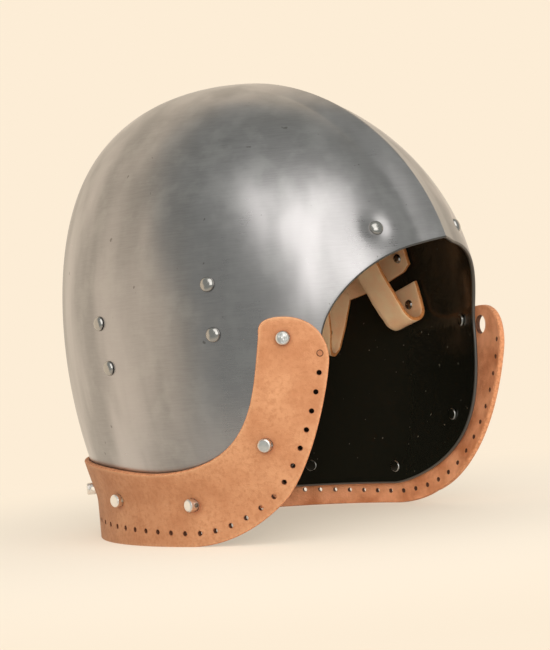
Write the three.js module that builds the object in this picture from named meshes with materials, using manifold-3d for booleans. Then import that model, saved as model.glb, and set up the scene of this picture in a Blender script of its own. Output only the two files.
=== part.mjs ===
// Bascinet: an open-faced steel skull with a medial ridge, a leather aventail band hung on
// pierced studs round its lower edge, and a riveted leather lining that carries it on the head.
// Millimetres. +Z is up, the face looks along -Y and +X is the wearer's left.
// Places on the helmet are given as a girth, measured round its widest section from the
// middle of the brow, and a height above the lowest part of the leather.

import * as THREE from "three";
import { mergeVertices } from "three/addons/utils/BufferGeometryUtils.js";
import Module from "manifold-3d";

const wasm = await Module();
wasm.setup();

// Skull form: the widest section, the crown above it and the skirt below it
const HALF_WIDTH = 102;
const FRONT_DEPTH = 118.8;
const BACK_DEPTH = 121.7;
const EAR_HEIGHT = 109.8;
const CROWN_RISE = 128.7;
const CROWN_SETBACK = 16.8;
const SIDE_INSET = 24.2; // how far the skirt draws in at height zero
const BACK_INSET = 19.8;
const FRONT_FLARE = 14.8;
const CROWN_SIDE_FULLNESS_SHARE = 0.036;
const CROWN_BACK_FULLNESS_SHARE = 0.177;
const FRONT_CORNER_SHARE = 0.016;
const STEEL_THICKNESS = 2;

// Medial ridge: a raised crease from the brow over the crown, fading down the back
const RIDGE_HEIGHT = 5;
const RIDGE_HALF_WIDTH = 16;
const RIDGE_POWER = 1.3;
const RIDGE_FADE_FRONT = 130; // the fade runs from ahead of the brow to behind the crown
const RIDGE_FADE_BACK = 40;

// Steel edge: brow, cheek and hem, with the reach of the curves between them
const BROW_HEIGHT = 142;
const BROW_REACH = 52;
const CHEEK_GIRTH = 77.2;
const CHEEK_HEIGHT = 95.6;
const CHEEK_REACH_UP = 17;
const CHEEK_REACH_DOWN = 60;
const HEM_GIRTH = 160;
const HEM_HEIGHT = 10.4;
const HEM_REACH = 14;

// Aventail band: vegetable-tanned leather over the outside of the steel edge
const BAND_THICKNESS = 2.8;
const BAND_TAB_GIRTH = 97;
const BAND_TAB_HEIGHT = 110.8;
const BAND_FRONT_GIRTH = 74.9;
const BAND_FRONT_FALL = 20.8; // from the tab's top to the foremost place of its front edge
const BAND_FRONT_HEIGHT = BAND_TAB_HEIGHT - BAND_FRONT_FALL;
const BAND_FRONT_DROP = 8.4; // reach of the curve from the front edge down to the lower edge
const BAND_BASE_GIRTH = 165.6;
const BAND_BASE_HEIGHT = -1;
const BAND_BASE_REACH = 66;
const BAND_REAR_GIRTH = 107.6; // rear edge of the cheek tab
const BAND_REAR_FALL = 8.3;
const BAND_REAR_HEIGHT = BAND_TAB_HEIGHT - BAND_REAR_FALL;
const BAND_REAR_DRIFT = 7; // the tab's rear edge leans back by this over its reach
const BAND_REAR_REACH = 36;
const BAND_SIDE_GIRTH = 181.6; // lowest place of the upper edge
const BAND_SIDE_HEIGHT = 37.2;
const BAND_SIDE_REACH = 58;
const BAND_SIDE_BACK_REACH = 29;
const BAND_BACK_HEIGHT = 43.7;
const BAND_BACK_REACH = 118;
const BAND_HANG_HEIGHT = 22; // below this the leather leaves the steel and hangs straight
const BAND_UNDERCUT = 1.5; // trimmed off the lower edge, which ends level
const BAND_UNDERCUT_RISE = 4;
const LEFT_TAB_DROP = 3.3; // the sprung left tab ends lower by this
const TAB_CORNER_REACH = 9;
const TAB_FRONT_REACH = 13;
const TAB_CORNER_DROP = 5;
const TAB_LIFT = 10; // the left tab springs off the steel by this at its end
const TAB_LIFT_START = 6.3;
const TAB_LIFT_POWER = 0.52;
const TAB_TWIST_SHARE = 0.28; // more at its front edge, less at its rear edge
const SPRING_FADE_GIRTH = 114; // from here back the leather comes to lie on the steel again
const SPRING_FADE_REACH = 49;
const STRETCHED_HOLE_RADIUS = 4.5; // the left tab's stud hole

// Holes for sewing the mail along the band's lower edge
const LACING_HOLE_RADIUS = 1.15;
const LACING_SPACING = 9.48;
const LACING_INSET = 4.1;
const LACING_BACK_INSET = 11.8; // the row rises towards the back
const LACING_START_SHARE = 0.091; // where the row starts along the band's outer edge
const LACING_LEVEL_SHARE = 0.8; // where it has come to its inset at the back

// Pierced studs that hold the band
const STUD_RADIUS = 3.3;
const STUD_PROUD = 7.6; // beyond the leather
const STUD_CHAMFER = 0.6;
const STUD_SHANK_RADIUS = 1.9;
const STUD_CORD_HOLE_RADIUS = 1.2;
const STUD_CORD_HOLE_INSET = 3.4; // below the stud's end
const STUD_BUTT_RADIUS = 3.2;
const STUD_BUTT_FACE_RADIUS = 2.1;
const STUD_BUTT_HEIGHT = 1.2;
const STUD_HOLE_CLEARANCE = 0.45;
const STUD_SHARES = [0.014, 0.258, 0.466, 0.649, 0.8255, 1]; // along the band's outer edge
const STUD_INSETS = [11.5, 19.2, 22.7, 23.9, 26.5, 25];

// Domed rivets through the skull
const RIVET_HEAD_RADIUS = 3.8;
const RIVET_HEAD_HEIGHT = 2.3;
const RIVET_SHANK_RADIUS = 1.6;
const RIVET_BUTT_RADIUS = 2.8;
const RIVET_BUTT_FACE_RADIUS = 1.4;
const RIVET_BUTT_HEIGHT = 1.4;
const BROW_RIVET = { girth: 38.8, height: 150.9 };
// A right pair's lower rivet, with the rise and the drift backwards to its upper one
const TEMPLE_RIVET = { girth: 130.8, height: 104.8, rise: 25, drift: 0.8 };
const BACK_RIVET = { girth: 201.6, height: 92.1, rise: 23.2, drift: 4.8 };
// The left pairs differ from the right ones by this: further back, and higher
const LEFT_TEMPLE_OFFSET = { girth: 15.2, height: 6.6, rise: 2.6, drift: 2.3 };
const LEFT_BACK_OFFSET = { girth: 6.4, height: 6.7, rise: 0.8, drift: 0 };

// Lining: a headband on the upper rivets and six crown straps, tied by a lace
const LINING_THICKNESS = 2;
const HEADBAND_WIDTH = 18;
const HEADBAND_END = 7; // leather beyond the end rivets
const HEADBAND_END_WIDTH = 12;
const HEADBAND_END_RISE = 1.4;
const HEADBAND_BACK_SAG = 3.5;
const HEADBAND_CLEARANCE = 0.9;
const STRAP_WIDTH = 19;
const STRAP_TIP_WIDTH = 10;
const STRAP_TAPER_SHARE = 0.45;
const STRAP_CLEARANCE = 1.2;
const STRAP_END = 11; // leather above the rivet
const STRAP_DROP = 4; // leather below the rivet before the turn
const BROW_STRAP_DROP = 1.5;
const STRAP_TURN_RADIUS = 7.3;
const BROW_TURN_RADIUS = 3; // tight, so that nothing hangs below the brow edge
const STRAP_TILT = 0.45; // radians by which the inner leg leans inwards from the wall
const STRAP_SWEEP = 38; // how straight the inner leg leaves the turn
const BACK_STRAP_SWEEP = 75;
const STRAP_ARCH = 44; // how flat it arrives at the crown
const TEMPLE_LEAN = 0.27; // radians, tops towards the back
const BACK_LEAN = -0.35;
const BROW_HEADING = Math.PI / 6; // where each strap meets the lace, round from the brow
const TEMPLE_HEADING = Math.PI / 2;
const BACK_HEADING = (5 * Math.PI) / 6;
const LACE_DROP = 38; // lace ring below the crown's top
const LACE_SETBACK = 8.4;
const LACE_RING_RADIUS = 15;
const LACE_RADIUS = 1.1;
const LACE_WAVE = 6;
const LACE_WAVES = 3;
const LACE_HOLE_RADIUS = 3;
const STRAP_TIP_REACH = 6; // leather beyond the lace

// Fits and facets
const SEAT_GAP = 0.3;
const BAND_GAP = 0.4;
const CUT_OVERRUN = 6;
const SKULL_COLUMNS = 60;
const SKULL_ROWS = 13;
const SKULL_FAN_POWER = 1.5; // how late the columns leave their even fan at the crown
const BAND_COLUMNS = 54;
const BAND_CROWDING_POWER = 1.25; // columns lie closer together on the tabs
const BAND_ROWS = 4;
const HEADBAND_COLUMNS = 26;
const STRAP_TURN_STEPS = 4;
const STRAP_LEG_STEPS = 7;
const LACE_STEPS = 30;
const LACE_SIDES = 5;
const LATHE_SIDES = 10;
const DOME_STEPS = 3;
const BORE_SIDES = 8;
const LACING_SIDES = 5;
const LACING_SAMPLES = 400;
const SLOPE_STEP = 1e-3; // radians, for slopes taken by differences

const STEEL = { color: 0x9a9c9e, metalness: 1, roughness: 0.38 };
const POLISHED = { color: 0xc9c7c2, metalness: 1, roughness: 0.16 };
const BAND_LEATHER = { color: 0xc98f68, metalness: 0, roughness: 0.72 };
const LINING_LEATHER = { color: 0xb98a62, metalness: 0, roughness: 0.8 };
const LACE_LEATHER = { color: 0x6b432b, metalness: 0, roughness: 0.75 };

const part = new THREE.Group();

// Skull surface

// Latitude 0 is the widest section and a quarter turn is the top. Below the widest section
// latitude falls in step with height, so that the slope has no jump there.
function heightAt(latitude) {
  return EAR_HEIGHT + CROWN_RISE * (latitude > 0 ? Math.sin(latitude) : latitude);
}

function latitudeAt(height) {
  const share = (height - EAR_HEIGHT) / CROWN_RISE;
  return share > 0 ? Math.asin(Math.min(share, 1)) : share;
}

// The plain form without ridge: an ellipse of two halves at each latitude, fuller towards the
// crown than a plain dome, drawn in below. The angle runs from 0 at the brow to pi at the back.
function plainPoint(angle, latitude) {
  const rise = Math.max(Math.sin(latitude), 0);
  const drop = Math.max(-CROWN_RISE * latitude, 0) / EAR_HEIGHT;
  const dome = latitude > 0 ? Math.cos(latitude) : 1;
  const width =
    (HALF_WIDTH - SIDE_INSET * drop ** 2) * dome * (1 + CROWN_SIDE_FULLNESS_SHARE * rise ** 2);
  const front = (FRONT_DEPTH + FRONT_FLARE * drop ** 2) * dome;
  const back =
    (BACK_DEPTH - BACK_INSET * drop ** 2) * dome * (1 + CROWN_BACK_FULLNESS_SHARE * rise ** 2);
  const facesFront = Math.cos(angle) > 0;
  const corner = 1 - (facesFront ? FRONT_CORNER_SHARE : 0) * Math.sin(2 * angle) ** 2;
  return new THREE.Vector3(
    width * Math.sin(angle) * corner,
    CROWN_SETBACK * rise ** 2 - (facesFront ? front : back) * Math.cos(angle) * corner,
    heightAt(latitude),
  );
}

function outwardNormal(angle, latitude) {
  if (latitude > Math.PI / 2 - 2 * SLOPE_STEP) return new THREE.Vector3(0, 0, 1);
  const along = plainPoint(angle + SLOPE_STEP, latitude).sub(
    plainPoint(angle - SLOPE_STEP, latitude),
  );
  const up = plainPoint(angle, latitude + SLOPE_STEP).sub(
    plainPoint(angle, latitude - SLOPE_STEP),
  );
  return along.cross(up).normalize();
}

function ridgeLift(point) {
  const nearness = Math.max(1 - Math.abs(point.x) / RIDGE_HALF_WIDTH, 0);
  const fade = 1 - THREE.MathUtils.smoothstep(point.y, -RIDGE_FADE_FRONT, RIDGE_FADE_BACK);
  return RIDGE_HEIGHT * nearness ** RIDGE_POWER * fade;
}

// A point at a distance outside the steel's outer face; inside it the distance is negative
function skullPoint(angle, latitude, outside) {
  const point = plainPoint(angle, latitude);
  const lift = ridgeLift(point) + outside;
  return point.addScaledVector(outwardNormal(angle, latitude), lift);
}

// Girth: the length round the widest section, from the brow
const GIRTH_STEPS = 360;
const girthTable = [0];
for (let i = 1; i <= GIRTH_STEPS; i++) {
  const step = Math.PI / GIRTH_STEPS;
  const length = plainPoint(i * step, 0).distanceTo(plainPoint((i - 1) * step, 0));
  girthTable.push(girthTable[i - 1] + length);
}
const HALF_GIRTH = girthTable[GIRTH_STEPS];

function angleAtGirth(girth) {
  const wanted = Math.min(Math.abs(girth), HALF_GIRTH);
  const next = Math.max(
    girthTable.findIndex((length) => length >= wanted),
    1,
  );
  const share = (wanted - girthTable[next - 1]) / (girthTable[next] - girthTable[next - 1]);
  return (Math.sign(girth) * (next - 1 + share) * Math.PI) / GIRTH_STEPS;
}

function placePoint(girth, height, outside) {
  return skullPoint(angleAtGirth(girth), latitudeAt(height), outside);
}

// A frame on the steel's outer face: X forwards round the helmet to the wearer's left,
// Y outwards and Z completing the two, roughly down
function placeFrame(girth, height) {
  const origin = placePoint(girth, height, 0);
  const outwards = outwardNormal(angleAtGirth(girth), latitudeAt(height));
  const sideways = new THREE.Vector3(0, 0, 1).cross(outwards).normalize();
  const third = sideways.clone().cross(outwards);
  return new THREE.Matrix4().makeBasis(sideways, outwards, third).setPosition(origin);
}

// Solids

function toManifold(geometry) {
  const bare = geometry.index ? geometry.toNonIndexed() : geometry.clone();
  bare.deleteAttribute("normal");
  bare.deleteAttribute("uv");
  const merged = mergeVertices(bare);
  const index = merged.index.array;
  const triVerts = [];
  for (let i = 0; i < index.length; i += 3) {
    const [a, b, c] = [index[i], index[i + 1], index[i + 2]];
    if (a !== b && b !== c && c !== a) triVerts.push(a, b, c);
  }
  return new wasm.Manifold(
    new wasm.Mesh({
      numProp: 3,
      vertProperties: Float32Array.from(merged.attributes.position.array),
      triVerts: Uint32Array.from(triVerts),
    }),
  );
}

function toGeometry(solid) {
  const mesh = solid.getMesh();
  const geometry = new THREE.BufferGeometry();
  geometry.setAttribute("position", new THREE.BufferAttribute(mesh.vertProperties, 3));
  geometry.setIndex(new THREE.BufferAttribute(mesh.triVerts, 1));
  return geometry;
}

// A solid from patches: each is a table of points, whose quads face the side from which its
// rows run down and its columns run to the right
function patchSolid(patches) {
  const corners = [];
  for (const rows of patches) {
    for (let r = 0; r + 1 < rows.length; r++) {
      for (let c = 0; c + 1 < rows[r].length; c++) {
        const [a, b] = [rows[r][c], rows[r][c + 1]];
        const [d, e] = [rows[r + 1][c], rows[r + 1][c + 1]];
        corners.push(a, d, e, a, e, b);
      }
    }
  }
  return toManifold(new THREE.BufferGeometry().setFromPoints(corners));
}

// A sheet of leather or steel: pointAt(row, column, face) gives the outer face for 1 and the
// inner face for 0, and walls close its four sides. A side that has shrunk to a point, or
// that meets itself, leaves no wall.
function sheetSolid(rows, columns, pointAt, meetsItself = false) {
  const face = (side) =>
    Array.from({ length: rows + 1 }, (_, r) =>
      Array.from({ length: columns + 1 }, (_, c) => pointAt(r, c, side)),
    );
  const outer = face(1);
  const inner = face(0);
  const patches = [
    outer,
    inner.map((row) => [...row].reverse()),
    [inner[0], outer[0]],
    [outer[rows], inner[rows]],
  ];
  if (!meetsItself) {
    patches.push(
      outer.map((row, r) => [inner[r][0], row[0]]),
      outer.map((row, r) => [row[columns], inner[r][columns]]),
    );
  }
  return patchSolid(patches);
}

// A prism along Y between two distances, for bores: its flats touch the circle of the radius
function boreCutter(radius, from, to, sides, frame) {
  const corner = radius / Math.cos(Math.PI / sides);
  const geometry = new THREE.CylinderGeometry(corner, corner, to - from, sides);
  geometry.translate(0, (from + to) / 2, 0);
  return toManifold(geometry.applyMatrix4(frame));
}

function addMesh(name, solid, look, frame = new THREE.Matrix4()) {
  const mesh = new THREE.Mesh(toGeometry(solid), new THREE.MeshStandardMaterial(look));
  mesh.name = name;
  mesh.applyMatrix4(frame);
  part.add(mesh);
}

// Edges, as curves in girth and height

function bezier(start, startHandle, endHandle, end) {
  return new THREE.CubicBezierCurve(
    new THREE.Vector2(...start),
    new THREE.Vector2(...startHandle),
    new THREE.Vector2(...endHandle),
    new THREE.Vector2(...end),
  );
}

function line(start, end) {
  return new THREE.LineCurve(new THREE.Vector2(...start), new THREE.Vector2(...end));
}

function joined(...curves) {
  const path = new THREE.CurvePath();
  curves.forEach((curve) => path.add(curve));
  return path;
}

const steelEdge = joined(
  bezier(
    [0, BROW_HEIGHT],
    [BROW_REACH, BROW_HEIGHT],
    [CHEEK_GIRTH, CHEEK_HEIGHT + CHEEK_REACH_UP],
    [CHEEK_GIRTH, CHEEK_HEIGHT],
  ),
  bezier(
    [CHEEK_GIRTH, CHEEK_HEIGHT],
    [CHEEK_GIRTH, CHEEK_HEIGHT - CHEEK_REACH_DOWN],
    [HEM_GIRTH - HEM_REACH, HEM_HEIGHT],
    [HEM_GIRTH, HEM_HEIGHT],
  ),
  line([HEM_GIRTH, HEM_HEIGHT], [HALF_GIRTH, HEM_HEIGHT]),
);

const bandOuterEdge = joined(
  bezier(
    [BAND_TAB_GIRTH, BAND_TAB_HEIGHT],
    [BAND_TAB_GIRTH - TAB_FRONT_REACH, BAND_TAB_HEIGHT],
    [BAND_FRONT_GIRTH, BAND_FRONT_HEIGHT + TAB_FRONT_REACH],
    [BAND_FRONT_GIRTH, BAND_FRONT_HEIGHT],
  ),
  bezier(
    [BAND_FRONT_GIRTH, BAND_FRONT_HEIGHT],
    [BAND_FRONT_GIRTH, BAND_FRONT_HEIGHT - BAND_FRONT_DROP],
    [BAND_BASE_GIRTH - BAND_BASE_REACH, BAND_BASE_HEIGHT],
    [BAND_BASE_GIRTH, BAND_BASE_HEIGHT],
  ),
  line([BAND_BASE_GIRTH, BAND_BASE_HEIGHT], [HALF_GIRTH, BAND_BASE_HEIGHT]),
);

const bandInnerEdge = joined(
  bezier(
    [BAND_TAB_GIRTH, BAND_TAB_HEIGHT],
    [BAND_TAB_GIRTH + TAB_CORNER_REACH, BAND_TAB_HEIGHT],
    [BAND_REAR_GIRTH, BAND_REAR_HEIGHT + TAB_CORNER_DROP],
    [BAND_REAR_GIRTH, BAND_REAR_HEIGHT],
  ),
  bezier(
    [BAND_REAR_GIRTH, BAND_REAR_HEIGHT],
    [BAND_REAR_GIRTH + BAND_REAR_DRIFT, BAND_REAR_HEIGHT - BAND_REAR_REACH],
    [BAND_SIDE_GIRTH - BAND_SIDE_REACH, BAND_SIDE_HEIGHT],
    [BAND_SIDE_GIRTH, BAND_SIDE_HEIGHT],
  ),
  bezier(
    [BAND_SIDE_GIRTH, BAND_SIDE_HEIGHT],
    [BAND_SIDE_GIRTH + BAND_SIDE_BACK_REACH, BAND_SIDE_HEIGHT],
    [HALF_GIRTH - BAND_BACK_REACH, BAND_BACK_HEIGHT],
    [HALF_GIRTH, BAND_BACK_HEIGHT],
  ),
);

// How far the left tab has sprung off the steel: nothing at its root, all of it at its end
function springShare(girth, height) {
  if (girth < 0) return 0;
  const share = (height - TAB_LIFT_START) / (BAND_TAB_HEIGHT - TAB_LIFT_START);
  const fadeEnd = SPRING_FADE_GIRTH + SPRING_FADE_REACH;
  const fade = 1 - THREE.MathUtils.smoothstep(girth, SPRING_FADE_GIRTH, fadeEnd);
  return Math.max(share, 0) ** TAB_LIFT_POWER * fade;
}

// The tab stands off more at its front edge
function bandLift(girth, height) {
  const halfTab = (BAND_REAR_GIRTH - BAND_FRONT_GIRTH) / 2;
  const offCentre = (BAND_FRONT_GIRTH + halfTab - girth) / halfTab;
  const twist = 1 + TAB_TWIST_SHARE * THREE.MathUtils.clamp(offCentre, -1, 1);
  return TAB_LIFT * springShare(girth, height) * twist;
}

// A point of the leather, by its distance outside the leather's inner face
function bandPoint(girth, height, outside) {
  const onSteel = Math.max(height, BAND_HANG_HEIGHT);
  const lift = BAND_GAP + bandLift(girth, height) + outside;
  const point = placePoint(girth, onSteel, lift);
  point.z -= onSteel - height + LEFT_TAB_DROP * springShare(girth, height);
  return point;
}

// A frame like placeFrame, on the middle of the leather and square to it
function bandFrame(girth, height) {
  const frame = placeFrame(girth, Math.max(height, BAND_HANG_HEIGHT));
  if (height < BAND_HANG_HEIGHT) {
    const sideways = new THREE.Vector3().setFromMatrixColumn(frame, 0);
    const down = new THREE.Vector3(0, 0, -1);
    frame.makeBasis(sideways, down.clone().cross(sideways), down);
  }
  return frame.setPosition(bandPoint(girth, height, BAND_THICKNESS / 2));
}

// How far out from the steel a cutter has to reach to pass the band's outer face
function bandReach(girth, height) {
  return BAND_GAP + bandLift(girth, height) + BAND_THICKNESS + CUT_OVERRUN;
}

// Fasteners: where each one is, and which solids it passes

// A place set in from the band's outer edge, along it by a share of its length
function bandPlace(share, inset) {
  const point = bandOuterEdge.getPointAt(share);
  const along = bandOuterEdge.getTangentAt(share);
  return { girth: point.x - along.y * inset, height: point.y + along.x * inset };
}

const SIDES = [
  { name: "right", sign: -1 },
  { name: "left", sign: 1 },
];

const studs = [];
STUD_SHARES.forEach((share, i) => {
  const place = bandPlace(share, STUD_INSETS[i]);
  if (share === 1) {
    studs.push({ name: "stud_back", girth: place.girth, height: place.height });
  } else {
    for (const side of SIDES) {
      const girth = side.sign * place.girth;
      studs.push({ name: `stud_${side.name}_${i + 1}`, girth, height: place.height });
    }
  }
});

const rivets = [];
const straps = [];
for (const side of SIDES) {
  const isLeft = side.sign > 0;
  rivets.push({ name: `rivet_brow_${side.name}`, ...BROW_RIVET, sign: side.sign, holds: "strap" });
  straps.push({
    name: `crown_strap_brow_${side.name}`,
    ...BROW_RIVET,
    sign: side.sign,
    lean: 0,
    drop: BROW_STRAP_DROP,
    turn: BROW_TURN_RADIUS,
    sweep: STRAP_SWEEP,
    heading: BROW_HEADING,
  });
  const rows = [
    {
      row: "temple",
      pair: TEMPLE_RIVET,
      offset: LEFT_TEMPLE_OFFSET,
      shape: { lean: TEMPLE_LEAN, sweep: STRAP_SWEEP, heading: TEMPLE_HEADING },
    },
    {
      row: "back",
      pair: BACK_RIVET,
      offset: LEFT_BACK_OFFSET,
      shape: { lean: BACK_LEAN, sweep: BACK_STRAP_SWEEP, heading: BACK_HEADING },
    },
  ];
  for (const { row, pair, offset, shape } of rows) {
    const size = (key) => pair[key] + (isLeft ? offset[key] : 0);
    const low = { girth: size("girth"), height: size("height"), sign: side.sign };
    const high = {
      girth: low.girth + size("drift"),
      height: low.height + size("rise"),
      sign: side.sign,
    };
    rivets.push({ name: `rivet_${row}_lower_${side.name}`, ...low, holds: "strap" });
    rivets.push({ name: `rivet_${row}_upper_${side.name}`, ...high, holds: "headband" });
    const fall = { drop: STRAP_DROP, turn: STRAP_TURN_RADIUS };
    straps.push({ name: `crown_strap_${row}_${side.name}`, ...low, ...shape, ...fall });
  }
}
rivets.forEach((rivet) => {
  rivet.girth *= rivet.sign;
});

// Skull

function buildSkull() {
  const half = SKULL_COLUMNS / 2;
  const edge = steelEdge.getSpacedPoints(half).map((point) => ({
    angle: angleAtGirth(point.x),
    latitude: latitudeAt(point.y),
  }));
  // Columns fan out evenly at the top and land on even steps of the edge
  const pointAt = (row, column, face) => {
    const turn = column - half;
    const target = edge[Math.abs(turn)];
    const drop = row / SKULL_ROWS;
    const latitude = THREE.MathUtils.lerp(Math.PI / 2, target.latitude, drop);
    const even = (Math.PI * Math.abs(turn)) / half;
    const angle = THREE.MathUtils.lerp(even, target.angle, drop ** SKULL_FAN_POWER);
    return skullPoint(Math.sign(turn) * angle, latitude, face ? 0 : -STEEL_THICKNESS);
  };
  let skull = sheetSolid(SKULL_ROWS, SKULL_COLUMNS, pointAt, true);
  for (const { girth, height } of studs) {
    skull = skull.subtract(shankBore(girth, height, STUD_SHANK_RADIUS));
  }
  for (const { girth, height } of rivets) {
    skull = skull.subtract(shankBore(girth, height, RIVET_SHANK_RADIUS));
  }
  addMesh("skull", skull, STEEL);
}

function shankBore(girth, height, shankRadius) {
  const frame = placeFrame(girth, height);
  const radius = shankRadius + SEAT_GAP;
  const deepest = -STEEL_THICKNESS - CUT_OVERRUN;
  return boreCutter(radius, deepest, CUT_OVERRUN, BORE_SIDES, frame);
}

// Aventail band

function buildBand() {
  const half = BAND_COLUMNS / 2;
  const stations = Array.from({ length: half + 1 }, (_, i) => (i / half) ** BAND_CROWDING_POWER);
  // The lower edge starts a little low and is then trimmed level
  const outer = stations.map((share) => {
    const point = bandOuterEdge.getPointAt(share);
    const nearness = (BAND_BASE_HEIGHT + BAND_UNDERCUT_RISE - point.y) / BAND_UNDERCUT_RISE;
    point.y -= BAND_UNDERCUT * Math.max(nearness, 0);
    return point;
  });
  const inner = stations.map((share) => bandInnerEdge.getPointAt(share));
  const pointAt = (row, column, face) => {
    const turn = column - half;
    const station = half - Math.abs(turn);
    const sign = turn < 0 ? 1 : -1;
    const place = outer[station].clone().lerp(inner[station], 1 - row / BAND_ROWS);
    return bandPoint(sign * place.x, place.y, face ? BAND_THICKNESS : 0);
  };
  let band = sheetSolid(BAND_ROWS, BAND_COLUMNS, pointAt);
  band = band.trimByPlane([0, 0, 1], BAND_BASE_HEIGHT);
  band = band.subtract(lacingCutters());
  for (const { name, girth, height } of studs) {
    const isStretched = name === "stud_left_1";
    const radius = isStretched ? STRETCHED_HOLE_RADIUS : STUD_RADIUS + STUD_HOLE_CLEARANCE;
    const reach = bandReach(girth, height);
    const frame = placeFrame(girth, height);
    band = band.subtract(boreCutter(radius, -CUT_OVERRUN, reach, BORE_SIDES, frame));
  }
  addMesh("aventail_band", band, BAND_LEATHER);
}

// The lacing holes are evenly spaced along the leather itself, from each tab to the back
function lacingCutters() {
  const places = [];
  for (let i = 0; i <= LACING_SAMPLES; i++) {
    const share = THREE.MathUtils.lerp(LACING_START_SHARE, 1, i / LACING_SAMPLES);
    const progress = Math.min(share / LACING_LEVEL_SHARE, 1) ** 2;
    places.push(bandPlace(share, THREE.MathUtils.lerp(LACING_INSET, LACING_BACK_INSET, progress)));
  }
  const lengths = [0];
  places.forEach((place, i) => {
    if (i === 0) return;
    const before = places[i - 1];
    const here = bandPoint(-place.girth, place.height, 0);
    lengths.push(lengths[i - 1] + here.distanceTo(bandPoint(-before.girth, before.height, 0)));
  });
  const total = lengths[LACING_SAMPLES] - LACING_SPACING / 2;
  const cutters = [];
  for (let wanted = 0; wanted <= total; wanted += LACING_SPACING) {
    const place = places[lengths.findIndex((length) => length >= wanted)];
    for (const side of SIDES) {
      const girth = side.sign * place.girth;
      const frame = bandFrame(girth, place.height);
      cutters.push(boreCutter(LACING_HOLE_RADIUS, -CUT_OVERRUN, CUT_OVERRUN, LACING_SIDES, frame));
    }
  }
  return wasm.Manifold.union(cutters);
}

// Studs: a pierced cylinder outside, a thin shank through the steel and a peened butt inside

function buildStuds() {
  const base = SEAT_GAP;
  const tip = BAND_GAP + BAND_THICKNESS + STUD_PROUD;
  const buttFace = -STEEL_THICKNESS - 2 * SEAT_GAP;
  const profile = [
    [0, buttFace - STUD_BUTT_HEIGHT],
    [STUD_BUTT_FACE_RADIUS, buttFace - STUD_BUTT_HEIGHT],
    [STUD_BUTT_RADIUS, buttFace],
    [STUD_SHANK_RADIUS, buttFace],
    [STUD_SHANK_RADIUS, base],
    [STUD_RADIUS, base],
    [STUD_RADIUS, tip - STUD_CHAMFER],
    [STUD_RADIUS - STUD_CHAMFER, tip],
    [0, tip],
  ];
  const turned = latheSolid(profile);
  const along = new THREE.Matrix4()
    .makeRotationZ(Math.PI / 2)
    .setPosition(0, tip - STUD_CORD_HOLE_INSET, 0);
  const reach = STUD_RADIUS + CUT_OVERRUN;
  const pierced = turned.subtract(
    boreCutter(STUD_CORD_HOLE_RADIUS, -reach, reach, LACING_SIDES, along),
  );
  for (const { name, girth, height } of studs) {
    addMesh(name, pierced, POLISHED, placeFrame(girth, height));
  }
}

function latheSolid(profile) {
  const points = profile.map(([radius, level]) => new THREE.Vector2(radius, level));
  return toManifold(new THREE.LatheGeometry(points, LATHE_SIDES));
}

// Rivets: a dome outside and a peened butt on the inside of the leather that each one holds

function buildRivets() {
  const linings = {
    strap: STRAP_CLEARANCE + LINING_THICKNESS,
    headband: HEADBAND_CLEARANCE + LINING_THICKNESS,
  };
  for (const { name, girth, height, holds } of rivets) {
    const buttFace = -STEEL_THICKNESS - linings[holds] - 2 * SEAT_GAP;
    const dome = Array.from({ length: DOME_STEPS }, (_, i) => {
      const turn = (Math.PI / 2) * (i / DOME_STEPS);
      const level = SEAT_GAP + RIVET_HEAD_HEIGHT * Math.sin(turn);
      return [RIVET_HEAD_RADIUS * Math.cos(turn), level];
    });
    const profile = [
      [0, buttFace - RIVET_BUTT_HEIGHT],
      [RIVET_BUTT_FACE_RADIUS, buttFace - RIVET_BUTT_HEIGHT],
      [RIVET_BUTT_RADIUS, buttFace],
      [RIVET_SHANK_RADIUS, buttFace],
      [RIVET_SHANK_RADIUS, SEAT_GAP],
      ...dome,
      [0, SEAT_GAP + RIVET_HEAD_HEIGHT],
    ];
    addMesh(name, latheSolid(profile), STEEL, placeFrame(girth, height));
  }
}

// Lining headband: round the inside on the upper rivets, from temple to temple

function buildHeadband() {
  const upper = (side, row) =>
    rivets.find((rivet) => rivet.name === `rivet_${row}_upper_${side}`);
  const start = upper("right", "temple");
  const end = upper("left", "temple");
  const backRight = upper("right", "back");
  const backLeft = upper("left", "back");
  // Girth is counted on past the back, so that the centre line is one curve
  const round = (rivet) => (rivet.girth < 0 ? rivet.girth + 2 * HALF_GIRTH : rivet.girth);
  const centre = new THREE.SplineCurve([
    new THREE.Vector2(round(end) - HEADBAND_END, end.height + HEADBAND_END_RISE),
    new THREE.Vector2(round(end), end.height),
    new THREE.Vector2(round(backLeft), backLeft.height),
    new THREE.Vector2(HALF_GIRTH, (backLeft.height + backRight.height) / 2 - HEADBAND_BACK_SAG),
    new THREE.Vector2(round(backRight), backRight.height),
    new THREE.Vector2(round(start), start.height),
    new THREE.Vector2(round(start) + HEADBAND_END, start.height + HEADBAND_END_RISE),
  ]);
  const places = centre.getSpacedPoints(HEADBAND_COLUMNS);
  const pointAt = (row, column, face) => {
    const place = places[column];
    const girth = place.x > HALF_GIRTH ? place.x - 2 * HALF_GIRTH : place.x;
    const isEnd = column === 0 || column === HEADBAND_COLUMNS;
    const width = isEnd ? HEADBAND_END_WIDTH : HEADBAND_WIDTH;
    const height = place.y + width * (1 / 2 - row / 2);
    const outside = -STEEL_THICKNESS - HEADBAND_CLEARANCE - (face ? 0 : LINING_THICKNESS);
    return placePoint(girth, height, outside);
  };
  let band = sheetSolid(2, HEADBAND_COLUMNS, pointAt);
  for (const rivet of [start, end, backRight, backLeft]) {
    band = band.subtract(liningBore(rivet.girth, rivet.height));
  }
  addMesh("lining_headband", band, LINING_LEATHER);
}

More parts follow.
